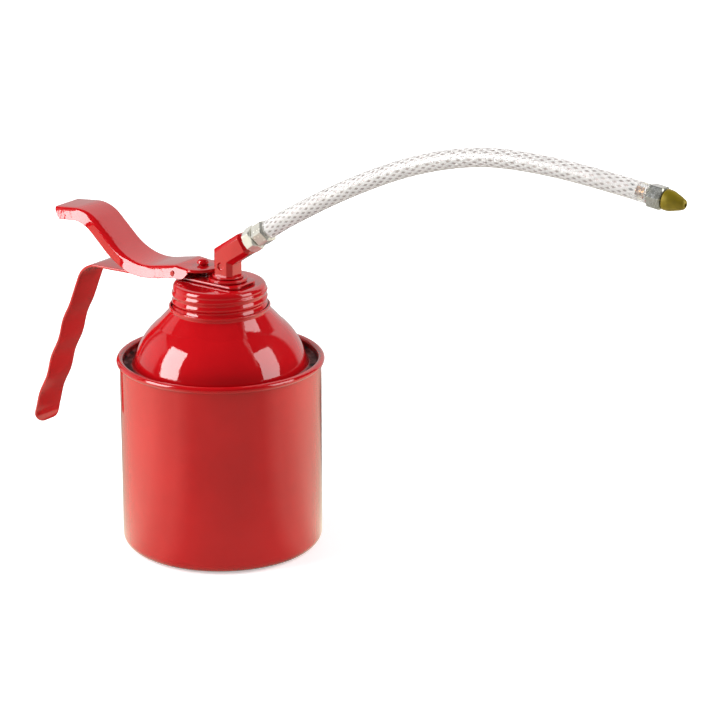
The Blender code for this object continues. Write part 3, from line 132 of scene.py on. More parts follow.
def sideways(line, marks):
    # points of a line at the marks, and there the direction a quarter turn to its right when seen from -Y
    places = placed(line, marks)
    along = unit(np.gradient(places, marks, axis=0))
    return places, np.stack([-along[:, 1], along[:, 0]], -1)


def easedMarks(radius, start, count):
    # radius (1 - cos a) for the angle a from start to 90 degrees, as a round end needs them
    return radius * (1.0 - np.cos(np.radians(np.linspace(start, 90.0, count))))


def turned(profile, columns=96, flats=0.0, shape=None, twist=0.0, centre=0.0):
    # (centre + r cos a, r sin a, z) for each profile point (r, z) and angle a; with flats, r stays inside a
    # hexagon whose first corner is at the twist, in degrees
    angle = np.linspace(0.0, fullTurn, columns, endpoint=False)[None]
    radius, height = (profile[:, k:k + 1] + 0 * angle for k in range(2))
    if flats:
        reach = flats / 2 / np.cos((angle - math.radians(twist)) % (math.pi / 3) - math.pi / 6)
        radius = np.minimum(radius, np.minimum(reach, brokenCorner * flats / math.sqrt(3)))
    if shape:
        radius = radius + shape(angle, radius, height)
    return np.stack([centre + radius * np.cos(angle), radius * np.sin(angle), height], -1)


def leant(grid, origin, lean):
    # local Z becomes (cos lean, 0, sin lean) and local X (sin lean, 0, -cos lean), about an origin (x, z)
    x, y, z = grid[..., 0], grid[..., 1], grid[..., 2]
    cos, sin = math.cos(lean), math.sin(lean)
    return np.stack([origin[0] + x * sin + z * cos, y, origin[1] - x * cos + z * sin], -1)


def swept(places, inward, outline):
    # place + inward * depth, with across along Y, for each station's outline of (across, depth)
    flat = places[:, None] + inward[:, None] * outline[..., 1:2]
    return np.stack([flat[..., 0], outline[..., 0], flat[..., 1]], -1)


def pieceFrom(name, parts, finish, sharp=32.0):
    # neighbours on each grid make four-sided faces; ends are poles, caps or a loop back to the first row
    points, faces, wraps, start = [], [], [], 0
    for grid, ends in parts:
        rows, columns = grid.shape[:2]
        index = start + np.arange(rows * columns).reshape(rows, columns)
        low, high = (index, np.roll(index, -1, 0)) if ends == "loop" else (index[:-1], index[1:])
        quads = np.stack([low, np.roll(low, -1, 1), np.roll(high, -1, 1), high], -1).reshape(-1, 4)
        along = np.concatenate([[0.0], np.cumsum(np.linalg.norm(np.diff(grid, axis=0), axis=-1).mean(1))])
        v0 = along[:, None] if ends == "loop" else along[:-1, None]
        v1 = v0 + 1.0 if ends == "loop" else along[1:, None]
        u0 = np.arange(columns)[None] / columns + 0 * v0
        u1 = u0 + 1.0 / columns
        v0, v1 = (v + 0 * u0 for v in (v0, v1))
        wraps.append(np.stack([u0, v0, u1, v0, u1, v1, u0, v1], -1).reshape(-1))
        faces += quads.tolist()
        if ends == "caps":
            faces += [index[0].tolist(), index[-1].tolist()]
            wraps.append(np.zeros(4 * columns))
        points.append(grid.reshape(-1, 3))
        start += rows * columns
    mesh = bpy.data.meshes.new(name)
    mesh.from_pydata(np.concatenate(points) * mm, [], faces)
    mesh.uv_layers.new(name="UVMap").uv.foreach_set("vector", np.concatenate(wraps).astype(np.float32))
    bm = bmesh.new()
    bm.from_mesh(mesh)
    bmesh.ops.remove_doubles(bm, verts=bm.verts, dist=0.0005 * mm)
    bmesh.ops.recalc_face_normals(bm, faces=bm.faces)
    bm.to_mesh(mesh)
    bm.free()
    piece = bpy.data.objects.new(name, mesh)
    bpy.context.scene.collection.objects.link(piece)
    return soften(piece, finish, sharp)


def soften(piece, finish, sharp=32.0):
    # one finish, smooth shading, and sharp edges where faces meet at more than that angle
    piece.data.materials.clear()
    piece.data.materials.append(finish)
    piece.data.shade_smooth()
    piece.data.set_sharp_from_angle(angle=math.radians(sharp))
    return piece


def cutFrom(piece, cutters):
    # takes the room that closed surfaces fill out of a piece
    finish = piece.data.materials[0]
    tools = [pieceFrom("cutter", [(grid, ends)], finish) for grid, ends in cutters]
    for tool in tools:
        modifier = piece.modifiers.new("cut", "BOOLEAN")
        modifier.object, modifier.solver, modifier.operation = tool, "EXACT", "DIFFERENCE"
    graph = bpy.context.evaluated_depsgraph_get()
    mesh = bpy.data.meshes.new_from_object(piece.evaluated_get(graph))
    piece.modifiers.clear()
    piece.data = mesh
    for tool in tools:
        bpy.data.objects.remove(tool, do_unlink=True)
    return soften(piece, finish)


def column(radius, low, high, centre=0.0):
    # closed round bar along Z, whose axis passes through (centre, 0)
    return turned(np.array([(0.0, low), (radius, low), (radius, high), (0.0, high)]), 48, centre=centre), "poles"


def settle(piece, body, slot, *nodes):
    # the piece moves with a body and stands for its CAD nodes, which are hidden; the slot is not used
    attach(piece, body)
    if nodes:
        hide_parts(*nodes)
    return piece


def redPiece(name, parts, finish, body, node, sharp=32.0, cutters=()):
    # a piece of red enamel, with its holes cut
    piece = pieceFrom(name, parts, finish, sharp)
    if cutters:
        cutFrom(piece, cutters)
    return settle(piece, body, "red_enamel", node)


# finishes


def newFinish(name, sockets):
    # a Principled material whose even values are typed on its own sockets
    material = bpy.data.materials.new(name)
    material.use_nodes = True
    shader = material.node_tree.nodes["Principled BSDF"]
    for socket, value in sockets.items():
        shader.inputs[socket].default_value = value
    return material, material.node_tree, shader


def add(tree, kind, inputs=None, **settings):
    # the outputs of a new node, whose inputs are plain values or other nodes' outputs
    item = tree.nodes.new("ShaderNode" + kind)
    for setting, value in settings.items():
        setattr(item, setting, value)
    for socket, value in (inputs or {}).items():
        if isinstance(value, bpy.types.NodeSocket):
            tree.links.new(value, item.inputs[socket])
        else:
            item.inputs[socket].default_value = value
    return item.outputs


def wire(shader, sockets):
    # outputs of other nodes go into the shader's sockets, in place of what went there
    for socket, output in sockets.items():
        shader.id_data.links.new(output, shader.inputs[socket])


def fed(shader, socket):
    # the output that goes into a socket so far
    return shader.inputs[socket].links[0].from_socket


def objectPlace(tree):
    return add(tree, "TexCoord")["Object"]


def axesOf(tree):
    return add(tree, "SeparateXYZ", {0: objectPlace(tree)})


def grain(tree, scale, detail=3.0):
    # noise on object coordinates, with its spots per metre
    return add(tree, "TexNoise", {"Vector": objectPlace(tree), "Scale": scale, "Detail": detail})[0]


def ranged(tree, value, low, high, fromLow=0.35, fromHigh=0.65):
    # straight line from low to high while the value goes from fromLow to fromHigh
    inputs = {"Value": value, "From Min": fromLow, "From Max": fromHigh, "To Min": low, "To Max": high}
    return add(tree, "MapRange", inputs)[0]


def below(tree, axis, edge, soft):
    # 1 below a place along an axis and 0 above it
    return ranged(tree, axesOf(tree)[axis], 1.0, 0.0, (edge - soft) * mm, (edge + soft) * mm)


def sums(tree, operation, first, *others):
    # an operation on a value and each of the others in turn; a root needs no other
    for other in others or (0.0,):
        first = add(tree, "Math", {0: first, 1: other}, operation=operation)[0]
    return first


def fromAxis(tree, axes):
    # distance from the can's axis: the root of x squared plus y squared
    return sums(tree, "SQRT", sums(tree, "ADD", *(sums(tree, "POWER", axes[k], 2.0) for k in range(2))))


def headed(tree, axes, heading):
    # distance towards a heading: x cos h + y sin h
    cosine, sine = outward(heading, 0.0)[:2]
    return sums(tree, "ADD", sums(tree, "MULTIPLY", axes[0], cosine), sums(tree, "MULTIPLY", axes[1], sine))


def mixColour(tree, share, first, second):
    return add(tree, "Mix", {0: share, 6: first, 7: second}, data_type="RGBA")[2]


def recolour(tree, shader, share, colour):
    # the finish has that colour where the share is 1
    wire(shader, {"Base Color": mixColour(tree, share, fed(shader, "Base Color"), colour)})


def relief(tree, shader, height, strength, depth):
    # a bump of that depth in millimetres
    bump = add(tree, "Bump", {"Height": height, "Strength": strength, "Distance": depth * mm})[0]
    wire(shader, {"Normal": bump})
    return bump


enamel = {
    "deep": (0.47, 0.0030, 0.0060, 1.0), "bright": (0.54, 0.0045, 0.0080, 1.0), "cloudScale": 38.0,
    "roughness": (0.05, 0.10), "peelScale": 620.0, "peelDepth": 0.05, "coat": 1.0,
}
# painted shade in the gutter: from where to where it sets in at the gutter's inside, outside and height, and its look
gutterShade = {
    "inside": (-0.4, 0.9), "outside": (-0.1, 0.5), "height": (1.7, 3.0), "least": 0.65, "full": 0.8,
    "colour": (0.010, 0.0045, 0.004, 1.0), "rougher": 0.35, "specular": 0.06,
}


def enamelled(name):
    sockets = {"Coat Weight": enamel["coat"], "Coat Roughness": 0.03, "Coat IOR": 1.5, "IOR": 1.5}
    material, tree, shader = newFinish(name, sockets)
    cloud = ranged(tree, grain(tree, enamel["cloudScale"], 4.0), 0.0, 1.0)
    wire(shader, {
        "Base Color": mixColour(tree, cloud, enamel["deep"], enamel["bright"]),
        "Roughness": ranged(tree, grain(tree, 140.0, 5.0), *enamel["roughness"]),
        "Coat Normal": relief(tree, shader, grain(tree, enamel["peelScale"], 2.0), 0.5, enamel["peelDepth"]),
    })
    return material, tree, shader


def redEnamel(name):
    return enamelled(name)[0]


def gutterEnamel(name, gutter):
    # enamel darkened by painted shade, rougher and with less gloss, where the distance from Z and the height are
    # inside the gutter
    material, tree, shader = enamelled(name)
    axes = axesOf(tree)
    reach = fromAxis(tree, axes)
    inside, outside, height = ([(place + edge) * mm for edge in gutterShade[key]] for key, place in gutter.items())
    shares = [ranged(tree, reach, 0.0, 1.0, *inside), ranged(tree, reach, 1.0, 0.0, *outside)]
    shares += [ranged(tree, axes[2], 1.0, 0.0, *height), ranged(tree, grain(tree, 260.0, 4.0), gutterShade["least"], 1.0)]
    share = sums(tree, "MULTIPLY", *shares)
    # the gutter's painted shade: a dark colour, with more roughness and less coat and specular
    recolour(tree, shader, share, gutterShade["colour"])
    rougher = sums(tree, "MULTIPLY", share, gutterShade["rougher"])
    wire(shader, {
        "Roughness": sums(tree, "ADD", fed(shader, "Roughness"), rougher),
        "Coat Weight": ranged(tree, share, enamel["coat"], 0.0, 0.0, gutterShade["full"]),
        "Specular IOR Level": ranged(tree, share, 0.5, gutterShade["specular"], 0.0, gutterShade["full"]),
    })
    return material


def clouded(name, sockets, first, second, clouds, roughness, fine, bump=None):
    # a colour that clouds between two, roughness from a fine grain, and a bump of (scale, strength, depth)
    material, tree, shader = newFinish(name, sockets)
    cloud = ranged(tree, grain(tree, clouds, 4.0), 0.0, 1.0)
    wire(shader, {
        "Base Color": mixColour(tree, cloud, (*first, 1.0), (*second, 1.0)),
        "Roughness": ranged(tree, grain(tree, fine), *roughness),
    })
    if bump:
        relief(tree, shader, grain(tree, bump[0]), *bump[1:])
    return material, tree, shader


def metal(name, first, second, roughness, scale=150.0, depth=0.004, metallic=1.0):
    # a bare metal with fine scratches; dull plating is less metallic
    return clouded(name, {"Metallic": metallic}, first, second, scale, roughness, 900.0, (900.0, 0.4, depth))[0]


def softFinish(name, first, second, roughness, scale, depth, sockets=None):
    # rubber or plastic with a fine grain
    bump = (scale * 5, 0.4, depth)
    return clouded(name, sockets or {}, first, second, scale, roughness, scale * 2, bump)[0]


def tipZinc(name, start):
    # plated zinc, whose stem in the hose is bare copper brown
    bump = (900.0, 0.3, 0.004)
    material, tree, shader = clouded(name, {"Metallic": 0.75}, *tip["plate"], 220.0, (0.16, 0.32), 700.0, bump)
    recolour(tree, shader, below(tree, 0, start, 0.2), tip["copper"])
    return material


def jacketFinish(name):
    # clear plastic of the hose: see-through, a little milky, with faint bands along it
    material, tree, shader = newFinish(name, {"Transmission Weight": 0.86, "IOR": 1.4})
    wrap = add(tree, "TexCoord")["UV"]
    spread = add(tree, "Mapping", {"Vector": wrap, "Scale": (14.0, 0.12, 1.0)})[0]
    bands = add(tree, "TexNoise", {"Vector": spread, "Scale": 1.0, "Detail": 3.0})[0]
    share = ranged(tree, bands, 0.0, 1.0)
    wire(shader, {
        "Base Color": mixColour(tree, share, (0.93, 0.93, 0.92, 1.0), (0.99, 0.99, 0.98, 1.0)),
        "Roughness": ranged(tree, bands, 0.12, 0.22),
    })
    relief(tree, shader, bands, 0.25, 0.03)
    return material


def linerFinish(name):
    # the oily inner tube of the hose, pale brown and shiny
    return clouded(name, {"Metallic": 0.5}, *hose["linerColours"], 260.0, (0.16, 0.26), 600.0)[0]


# camera and light

view = {"target": (68.3, 0.0, 88.9), "azimuth": 36.0, "elevation": 18.58, "distance": 1200.0, "lens": 156.65}
# a softbox stands at a heading and height in degrees round the can, with its width, height, roll and radiance
lights = {
    "leftBox": {"heading": -127.0, "height": 25.0, "size": (500.0, 740.0), "roll": 12.0, "glow": 7.2},
    "rightBox": {"heading": 22.0, "height": 24.0, "size": (500.0, 760.0), "roll": -12.0, "glow": 3.1},
    "leftFill": {"heading": -152.0, "height": 32.0, "size": (600.0, 600.0), "roll": 0.0, "glow": 6.2},
    "rightFill": {"heading": 48.0, "height": 32.0, "size": (600.0, 600.0), "roll": 0.0, "glow": 6.0},
}
lampDistance = 1000.0
# pale cards that only glossy surfaces see, behind the can and left of it: how far they reach to each side and
# up, how wide their sides fade, and their glow between two heights
cards = {
    "rearCard": {"heading": 124.0, "distance": 210.0, "left": 245.0, "right": 330.0, "top": 450.0, "fade": 70.0,
                 "glow": (0.5, 0.95), "heights": (140.0, 340.0)},
    "leftCard": {"heading": 194.0, "distance": 300.0, "left": 118.0, "right": 105.0, "top": 290.0, "fade": 30.0,
                 "glow": (0.5, 0.4), "heights": (140.0, 290.0)},
}
room = {"ambient": 0.2, "gloss": 0.03}
# the floor glows between two values and distances for the camera; for gloss its glow is "dim" and the bands
# over it, each a change to nothing between two cosines from the heading, less the can's shade
floorPlan = {
    "half": 2500.0, "drop": 0.2, "colour": (0.86, 0.86, 0.86, 1.0), "glow": (0.42, 1.0), "glowRun": (180.0, 700.0),
    # the warm tint for gloss below is painted red light, bounced from the can onto the floor
    "heading": -45.0, "dim": 0.31, "bouncedRedTint": (1.0, 0.93, 0.74, 1.0),
    "bands": ((0.35, 0.0, 0.58, 0.80), (0.32, 0.0, 0.1, 0.5), (-0.45, 0.0, -0.9, -0.1)),
    "shadeHeading": 124.0, "shade": 0.22, "shadeCosines": (0.78, 0.9), "shadeRun": (190.0, 266.0),
}


def aimed(thing, place, target, roll=0.0):
    thing.location = Vector(place) * mm
    turn = (Vector(target) - Vector(place)).to_track_quat("-Z", "Y")
    thing.rotation_euler = (turn @ Quaternion((0.0, 0.0, 1.0), math.radians(roll))).to_euler()
    bpy.context.scene.collection.objects.link(thing)


def makeCamera():
    camera = bpy.data.objects.new("camera", bpy.data.cameras.new("camera"))
    camera.data.lens = view["lens"]
    camera.data.sensor_width = 36.0
    camera.data.clip_end = 20.0
    place = np.array(view["target"]) + view["distance"] * outward(view["azimuth"] - 90.0, view["elevation"])
    aimed(camera, place, view["target"])
    bpy.context.scene.camera = camera


def makeLights():
    middle = (0.0, 0.0, 80.0)
    for name, box in lights.items():
        lamp = bpy.data.lights.new(name, "AREA")
        lamp.shape = "RECTANGLE"
        lamp.size, lamp.size_y = (side * mm for side in box["size"])
        lamp.energy = box["glow"] * math.pi * lamp.size * lamp.size_y  # radiance times pi times the area
        thing = bpy.data.objects.new(name, lamp)
        thing.visible_camera = False
        thing.visible_glossy = name.endswith("Box")
        place = np.array(middle) + lampDistance * outward(box["heading"], box["height"])
        aimed(thing, place, middle, box["roll"])


def makeRoom():
    # plain white for the camera, even for soft light and nearly dark for gloss
    world = bpy.data.worlds.new("room")
    world.use_nodes = True
    bpy.context.scene.world = world
    tree = world.node_tree
    back = tree.nodes["Background"]
    rays = add(tree, "LightPath")
    seen = sums(tree, "MAXIMUM", rays["Is Camera Ray"], rays["Is Transmission Ray"])
    soft = add(tree, "Mix", {0: rays["Is Glossy Ray"], 2: room["ambient"], 3: room["gloss"]})[0]
    back.inputs["Color"].default_value = (1.0, 1.0, 1.0, 1.0)
    wire(back, {"Strength": add(tree, "Mix", {0: seen, 2: soft, 3: 1.0})[0]})


def staged(name, corners, material):
    # a sheet with four corners that belongs to the room
    mesh = bpy.data.meshes.new(name)
    mesh.from_pydata(np.array(corners) * mm, [], [(0, 1, 2, 3)])
    mesh.materials.append(material)
    thing = bpy.data.objects.new(name, mesh)
    bpy.context.scene.collection.objects.link(thing)
    return thing


def makeCard(name, card):
    sockets = {"Specular IOR Level": 0.0, "Base Color": (0.0, 0.0, 0.0, 1.0)}
    sockets["Emission Color"] = (1.0, 0.97, 0.95, 1.0)
    material, tree, shader = newFinish(name + "Finish", sockets)
    axes = axesOf(tree)
    along = headed(tree, axes, card["heading"] - 90.0)
    low, high, fade = -card["left"] * mm, card["right"] * mm, card["fade"] * mm
    sides = [ranged(tree, along, 0.0, 1.0, low, low + fade), ranged(tree, along, 1.0, 0.0, high - fade, high)]
    glow = ranged(tree, axes[2], *card["glow"], *(height * mm for height in card["heights"]))
    even = ranged(tree, grain(tree, 5.0), 0.96, 1.04)
    wire(shader, {"Emission Strength": sums(tree, "MULTIPLY", *sides, glow, even)})
    middle, right = card["distance"] * outward(card["heading"], 0.0), outward(card["heading"] - 90.0, 0.0)
    first, last = middle - card["left"] * right, middle + card["right"] * right
    up = np.array([0.0, 0.0, card["top"]])
    thing = staged(name, (first, last, last + up, first + up), material)
    thing.visible_camera = thing.visible_diffuse = thing.visible_transmission = thing.visible_shadow = False


def makeFloor():
    # a pale flat sheet under the can; to the camera it glows, so that it stays white far away; to gloss it is black
    # with a painted glow: lit bands by heading, a painted shadow of the can behind it and a warm tint of painted red
    # light bounced from the can
    material, tree, shader = newFinish("paleFloor", {"Roughness": 0.5})
    even = ranged(tree, grain(tree, 6.0), 0.97, 1.0)
    tint = mixColour(tree, even, (0.8, 0.8, 0.8, 1.0), floorPlan["colour"])
    rays, axes = add(tree, "LightPath"), axesOf(tree)
    gloss = rays["Is Glossy Ray"]
    reach = sums(tree, "MAXIMUM", fromAxis(tree, axes), 0.001)
    far = ranged(tree, reach, *floorPlan["glow"], *(run * mm for run in floorPlan["glowRun"]))
    ahead, behind = (
        sums(tree, "DIVIDE", headed(tree, axes, floorPlan[key]), reach) for key in ("heading", "shadeHeading"))
    glossy = sums(tree, "ADD", floorPlan["dim"], *(ranged(tree, ahead, *band) for band in floorPlan["bands"]))
    inShade = ranged(tree, behind, 0.0, 1.0, *floorPlan["shadeCosines"])
    near = ranged(tree, reach, 1.0, 0.0, *(run * mm for run in floorPlan["shadeRun"]))
    shade = ranged(tree, sums(tree, "MULTIPLY", inShade, near), 1.0, floorPlan["shade"], 0.0, 1.0)
    seen = sums(tree, "MULTIPLY", rays["Is Camera Ray"], far)
    wire(shader, {
        "Base Color": mixColour(tree, gloss, tint, (0.0, 0.0, 0.0, 1.0)),
        "Specular IOR Level": ranged(tree, gloss, 0.5, 0.0, 0.0, 1.0),
        "Emission Color": mixColour(tree, gloss, (1.0, 1.0, 1.0, 1.0), floorPlan["bouncedRedTint"]),
        "Emission Strength": sums(tree, "ADD", seen, sums(tree, "MULTIPLY", gloss, glossy, shade)),
    })
    half, level = floorPlan["half"], -floorPlan["drop"]
    staged("floor", [(x * half, y * half, level) for x, y in ((-1, -1), (1, -1), (1, 1), (-1, 1))], material)


makeCamera()
makeLights()
makeRoom()
for cardName, cardPlan in cards.items():
    makeCard(cardName, cardPlan)
makeFloor()
bpy.context.scene.view_settings.view_transform = "Standard"
print("stage: camera, softboxes, room and floor")


# places from the frame


def span(node, axis):
    # where a CAD node begins and ends along an axis
    return [corner[axis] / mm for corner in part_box(node)]


def middleOf(node, axis):
    return sum(span(node, axis)) / 2


plungerX = middleOf("plunger_rod", 0)
spoutX = middleOf("spout_washer", 0)
pivot = (middleOf("pivot_pin", 0), middleOf("pivot_pin", 2))
capFloor, capTop = span("cap", 2)
washerFloor, washerTop = span("spout_washer", 2)
stripTop = washerFloor - seatGap
stemFloor = span("spout_elbow", 2)[0]


# hose: the clear tube and the braid in it

# its route in metres, as (x, z), between the straight stretch on the barb and the one at the tip
hose = {
    "route": [
        (0.0509, 0.1495), (0.0622, 0.1556), (0.0734, 0.1612), (0.0844, 0.1662), (0.0953, 0.1704),
        (0.1060, 0.1738), (0.1166, 0.1764), (0.1272, 0.1781), (0.1376, 0.1788), (0.1479, 0.1789),
        (0.1581, 0.1786), (0.1682, 0.1779), (0.1783, 0.1770),
    ],
    "end": (0.1936, 0.1754), "tipLean": -6.5, "length": 0.180, "diameter": 0.0072,
    "bore": 2.05, "onBarb": 9.8, "onTip": 6.0, "edge": 0.35, "step": 1.4,
    "liner": 2.5, "linerWall": 0.15, "linerEnds": (1.2, 5.8),
    "linerColours": ((0.50, 0.42, 0.40), (0.60, 0.52, 0.50)),
}
braid = {
    "strands": 10, "lead": 47.6, "radius": 2.88, "weave": 0.08, "halfWidth": 0.44, "halfHeight": 0.11,
    "phase": -14.0, "ends": (0.6, 3.2), "step": 0.62, "sides": 8,
    "colours": ((0.60, 0.59, 0.585), (0.50, 0.49, 0.485)),
    # the yarn's faint glow is painted light, standing in for light that comes through the clear tube
    "light": {"Emission Color": (1.0, 0.955, 0.945, 1.0), "Emission Strength": 0.3},  # through the clear tube
}
spout = {"lean": 34.0, "rise": 7.7, "footHeight": 0.8, "hoseStart": 24.9}

spoutLean = math.radians(spout["lean"])
footTop = washerTop + seatGap + spout["footHeight"]
crossing = np.array([spoutX, footTop + spout["rise"]])
ahead = np.array([math.cos(spoutLean), math.sin(spoutLean)])
hoseEnd = np.array(hose["end"]) / mm
tipLean = math.radians(hose["tipLean"])
tipAhead = np.array([math.cos(tipLean), math.sin(tipLean)])


def hoseLine():
    # straight on the barb, a smooth line through the route, straight onto the tip's stem
    start = crossing + ahead * spout["hoseStart"]
    lead = start + ahead * hose["onBarb"]
    tail = hoseEnd - tipAhead * hose["onTip"]
    middle = np.array(hose["route"]) / mm
    fine = smoothLine(np.concatenate([[lead], middle, [tail]]), 8)
    return np.concatenate([[start], fine, [hoseEnd]])


def tube(line, marks, radius):
    # line(s) + r(s) (cos a Y + sin a N), for the distance s and the angle a; N is across the line
    places, across = sideways(line, marks)
    angle = np.linspace(0.0, fullTurn, 40, endpoint=False)[None]
    radius = (radius + 0 * marks)[:, None]
    flat = places[:, None] + across[:, None] * (radius * np.sin(angle))[..., None]
    return np.stack([flat[..., 0], radius * np.cos(angle), flat[..., 1]], -1)


def pipe(name, line, marks, outside, inside, finish):
    # a wall between two radii
    wall = np.concatenate([tube(line, marks, outside), tube(line, marks, inside)[::-1]])
    return pieceFrom(name, [(wall, "loop")], finish, 50.0)


def makeHose(line):
    length, edge = distances(line)[-1], hose["edge"]
    rounding = edge * np.array([0.0, 0.3, 0.65, 1.0])
    marks = np.concatenate([rounding, np.arange(2.0, length - 2.0, hose["step"]), length - rounding[::-1]])
    skin = hose["diameter"] / mm / 2 - cornerInset(np.minimum(marks, length - marks), edge)
    return pipe("hoseJacket", line, marks, skin, hose["bore"], jacketFinish("clearJacket"))


def makeLiner(line):
    # a thin tube in the jacket's wall, which stops short of the stem at the tip
    start, stop = hose["linerEnds"]
    marks = np.arange(start, distances(line)[-1] - stop, hose["step"])
    inside = hose["liner"] - hose["linerWall"]
    return pipe("hoseLiner", line, marks, hose["liner"], inside, linerFinish("oilyLiner"))


def strand(line, phase, hand):
    # a helix round the line, in and out of the others by a cosine, with an oval section along the jacket
    start, stop = braid["ends"]
    marks = np.arange(start, distances(line)[-1] - stop, braid["step"])
    places, across = (np.stack([v[:, 0], 0 * marks, v[:, 1]], -1) for v in sideways(line, marks))
    turn = (hand * fullTurn * marks / braid["lead"] + phase)[:, None]
    reach = braid["radius"] + hand * braid["weave"] * np.cos(fullTurn * marks * braid["strands"] / braid["lead"])
    out = np.cos(turn) * np.array([0.0, 1.0, 0.0]) + np.sin(turn) * across
    core = places + reach[:, None] * out
    side = unit(np.cross(unit(np.gradient(core, marks, axis=0)), out))
    angle = np.linspace(0.0, fullTurn, braid["sides"], endpoint=False)[None, :, None]
    flat = braid["halfWidth"] * np.cos(angle) * side[:, None]
    return core[:, None] + flat + braid["halfHeight"] * np.sin(angle) * out[:, None]


def makeBraid(line):
    finish = softFinish("braidYarn", *braid["colours"], (0.35, 0.5), 400.0, 0.02, braid["light"])
    phases = np.arange(braid["strands"]) * fullTurn / braid["strands"] + math.radians(braid["phase"])
    parts = [(strand(line, phase, hand), "caps") for hand in (1, -1) for phase in phases]
    return pieceFrom("hoseBraid", parts, finish, 60.0)


hosePath = hoseLine()
jacket, yarn, liner = makeHose(hosePath), makeBraid(hosePath), makeLiner(hosePath)
settle(jacket, "pump_head", "braided_hose", "hose")
settle(liner, "pump_head", "braided_hose")
settle(yarn, "pump_head", "braided_hose")
print("stage: hose and braid, length", round(distances(hosePath)[-1], 1))


# hexagon fittings and nozzle

adapter = {
    "flats": 9.0, "start": 13.7, "end": 18.1, "screw": 2.3, "screwStart": 7.7, "nose": 21.1,
    "bore": 1.1, "chamfer": 0.55, "twist": 0.0, "plate": ((0.86, 0.86, 0.82), (0.80, 0.78, 0.68), (0.2, 0.27)),
}
tail = {
    "flats": 8.3, "start": 18.4, "end": 24.6, "socket": 2.6, "socketEnd": 21.4, "bore": 1.0,
    "barb": 1.75, "barbRoot": 1.5, "barbEnd": 33.7, "chamfer": 0.9, "twist": 25.0,
    "plate": ((0.85, 0.84, 0.80), (0.78, 0.76, 0.67), (0.2, 0.28)),
}
tip = {
    "flats": 8.0, "start": 1.0, "end": 6.9, "barb": 1.75, "barbRoot": 1.5, "barbEnd": -5.0,
    "spigot": 2.0, "spigotEnd": 9.6, "bore": 1.0, "chamfer": 0.6, "twist": 23.5,
    "plate": ((0.68, 0.69, 0.68), (0.58, 0.58, 0.50)), "copper": (0.44, 0.23, 0.10, 1.0),
}
cone = {
    "start": 7.2, "end": 15.4, "base": 3.9, "tip": 1.6, "bore": 0.75, "socket": 2.3, "socketEnd": 9.9,
    "baseRound": 0.6, "tipRound": 1.25, "swell": ((2.4, 3.8), (6.2, 2.5)), "swellBend": 6.0,
    "colours": ((0.32, 0.235, 0.012), (0.24, 0.18, 0.010)),
}

# a hexagon's end: how far its chamfer draws in and runs along, as shares of the chamfer, and its bends
hexEnd = {"draw": 1.35, "run": 0.8, "over": 0.02, "bends": (0.12, 0.2)}


def hexLine(size):
    # the round chamfers at both ends of a hexagon bar, as (radius, height, bend)
    start, end, chamfer = size["start"], size["end"], size["chamfer"]
    corner, run = size["flats"] / math.sqrt(3), chamfer * hexEnd["run"]
    low, high = corner - chamfer * hexEnd["draw"], corner + hexEnd["over"]
    foot, rim = hexEnd["bends"]
    return [(low, start, foot), (high, start + run, rim), (high, end - run, rim), (low, end, foot)]


def barbLine(size, start, end, ridges=3):
    # saw teeth along a stem, from start to end
    step = (end - start) / (ridges + 1)
    line = [(size["barb"], start + step, 0.05)]
    for index in range(1, ridges + 1):
        line.append((size["barbRoot"], start + step * (index + 1), 0.03))
        if index < ridges:
            line.append((size["barb"], start + step * (index + 1), 0.05))
    return line


def makeFitting(name, node, size, line, origin, lean, finish):
    # a fitting's profile turned inside its hexagon and leant along the spout or the hose
    grid = leant(turned(roundedLine(line, 5), 96, size["flats"], None, size["twist"]), origin, lean)
    return settle(pieceFrom(name, [(grid, "loop")], finish, 24.0), "pump_head", "zinc", node)


def plating(name, size):
    return metal(name, *size["plate"], depth=0.001, metallic=0.6)


def makeAdapter():
    bore, screw, foot, nose = (adapter[key] for key in ("bore", "screw", "screwStart", "nose"))
    line = [(bore, foot), (screw, foot, 0.2), (screw, adapter["start"])] + hexLine(adapter)
    line += [(screw, adapter["end"], 0.1), (screw, nose, 0.3), (bore, nose)]
    finish = plating("adapterZinc", adapter)
    return makeFitting("spoutAdapter", "spout_adapter", adapter, line, crossing, spoutLean, finish)


def makeTail():
    bore, socket, end = tail["bore"], tail["socket"], tail["end"]
    line = [(socket, tail["start"])] + hexLine(tail)
    line += [(tail["barb"], end, 0.1)] + barbLine(tail, end, tail["barbEnd"])
    line += [(bore, tail["barbEnd"]), (bore, tail["socketEnd"]), (socket, tail["socketEnd"])]
    return makeFitting("hoseTail", "hose_tail", tail, line, crossing, spoutLean, plating("tailZinc", tail))


def makeTip():
    bore, spigot, start = tip["bore"], tip["spigot"], tip["start"]
    line = [(bore, tip["barbEnd"])] + barbLine(tip, start, tip["barbEnd"])[::-1]
    line += [(tip["barb"], start, 0.1)] + hexLine(tip)
    line += [(spigot, tip["end"], 0.1), (spigot, tip["spigotEnd"], 0.2), (bore, tip["spigotEnd"])]
    return makeFitting("tipFitting", "nozzle_body", tip, line, hoseEnd, tipLean, tipZinc("tipZinc", hoseEnd[0]))


def makeCone():
    bore, socket, depth, start, end = (cone[key] for key in ("bore", "socket", "socketEnd", "start", "end"))
    line = [(bore, depth), (socket, depth), (socket, start), (cone["base"], start, cone["baseRound"])]
    line += [(radius, start + run, cone["swellBend"]) for run, radius in cone["swell"]]
    line += [(cone["tip"], end, cone["tipRound"]), (bore, end, 0.1)]
    grid = leant(turned(roundedLine(line, 8), 96), hoseEnd, tipLean)
    finish = softFinish("olive", *cone["colours"], (0.36, 0.48), 260.0, 0.01, {"Metallic": 0.3})
    return settle(pieceFrom("oilNozzle", [(grid, "loop")], finish), "pump_head", "olive_brass", "nozzle")


makeAdapter()
makeTail()
tipPiece = makeTip()
conePiece = makeCone()
print("stage: fittings and nozzle")


# can body and domed top

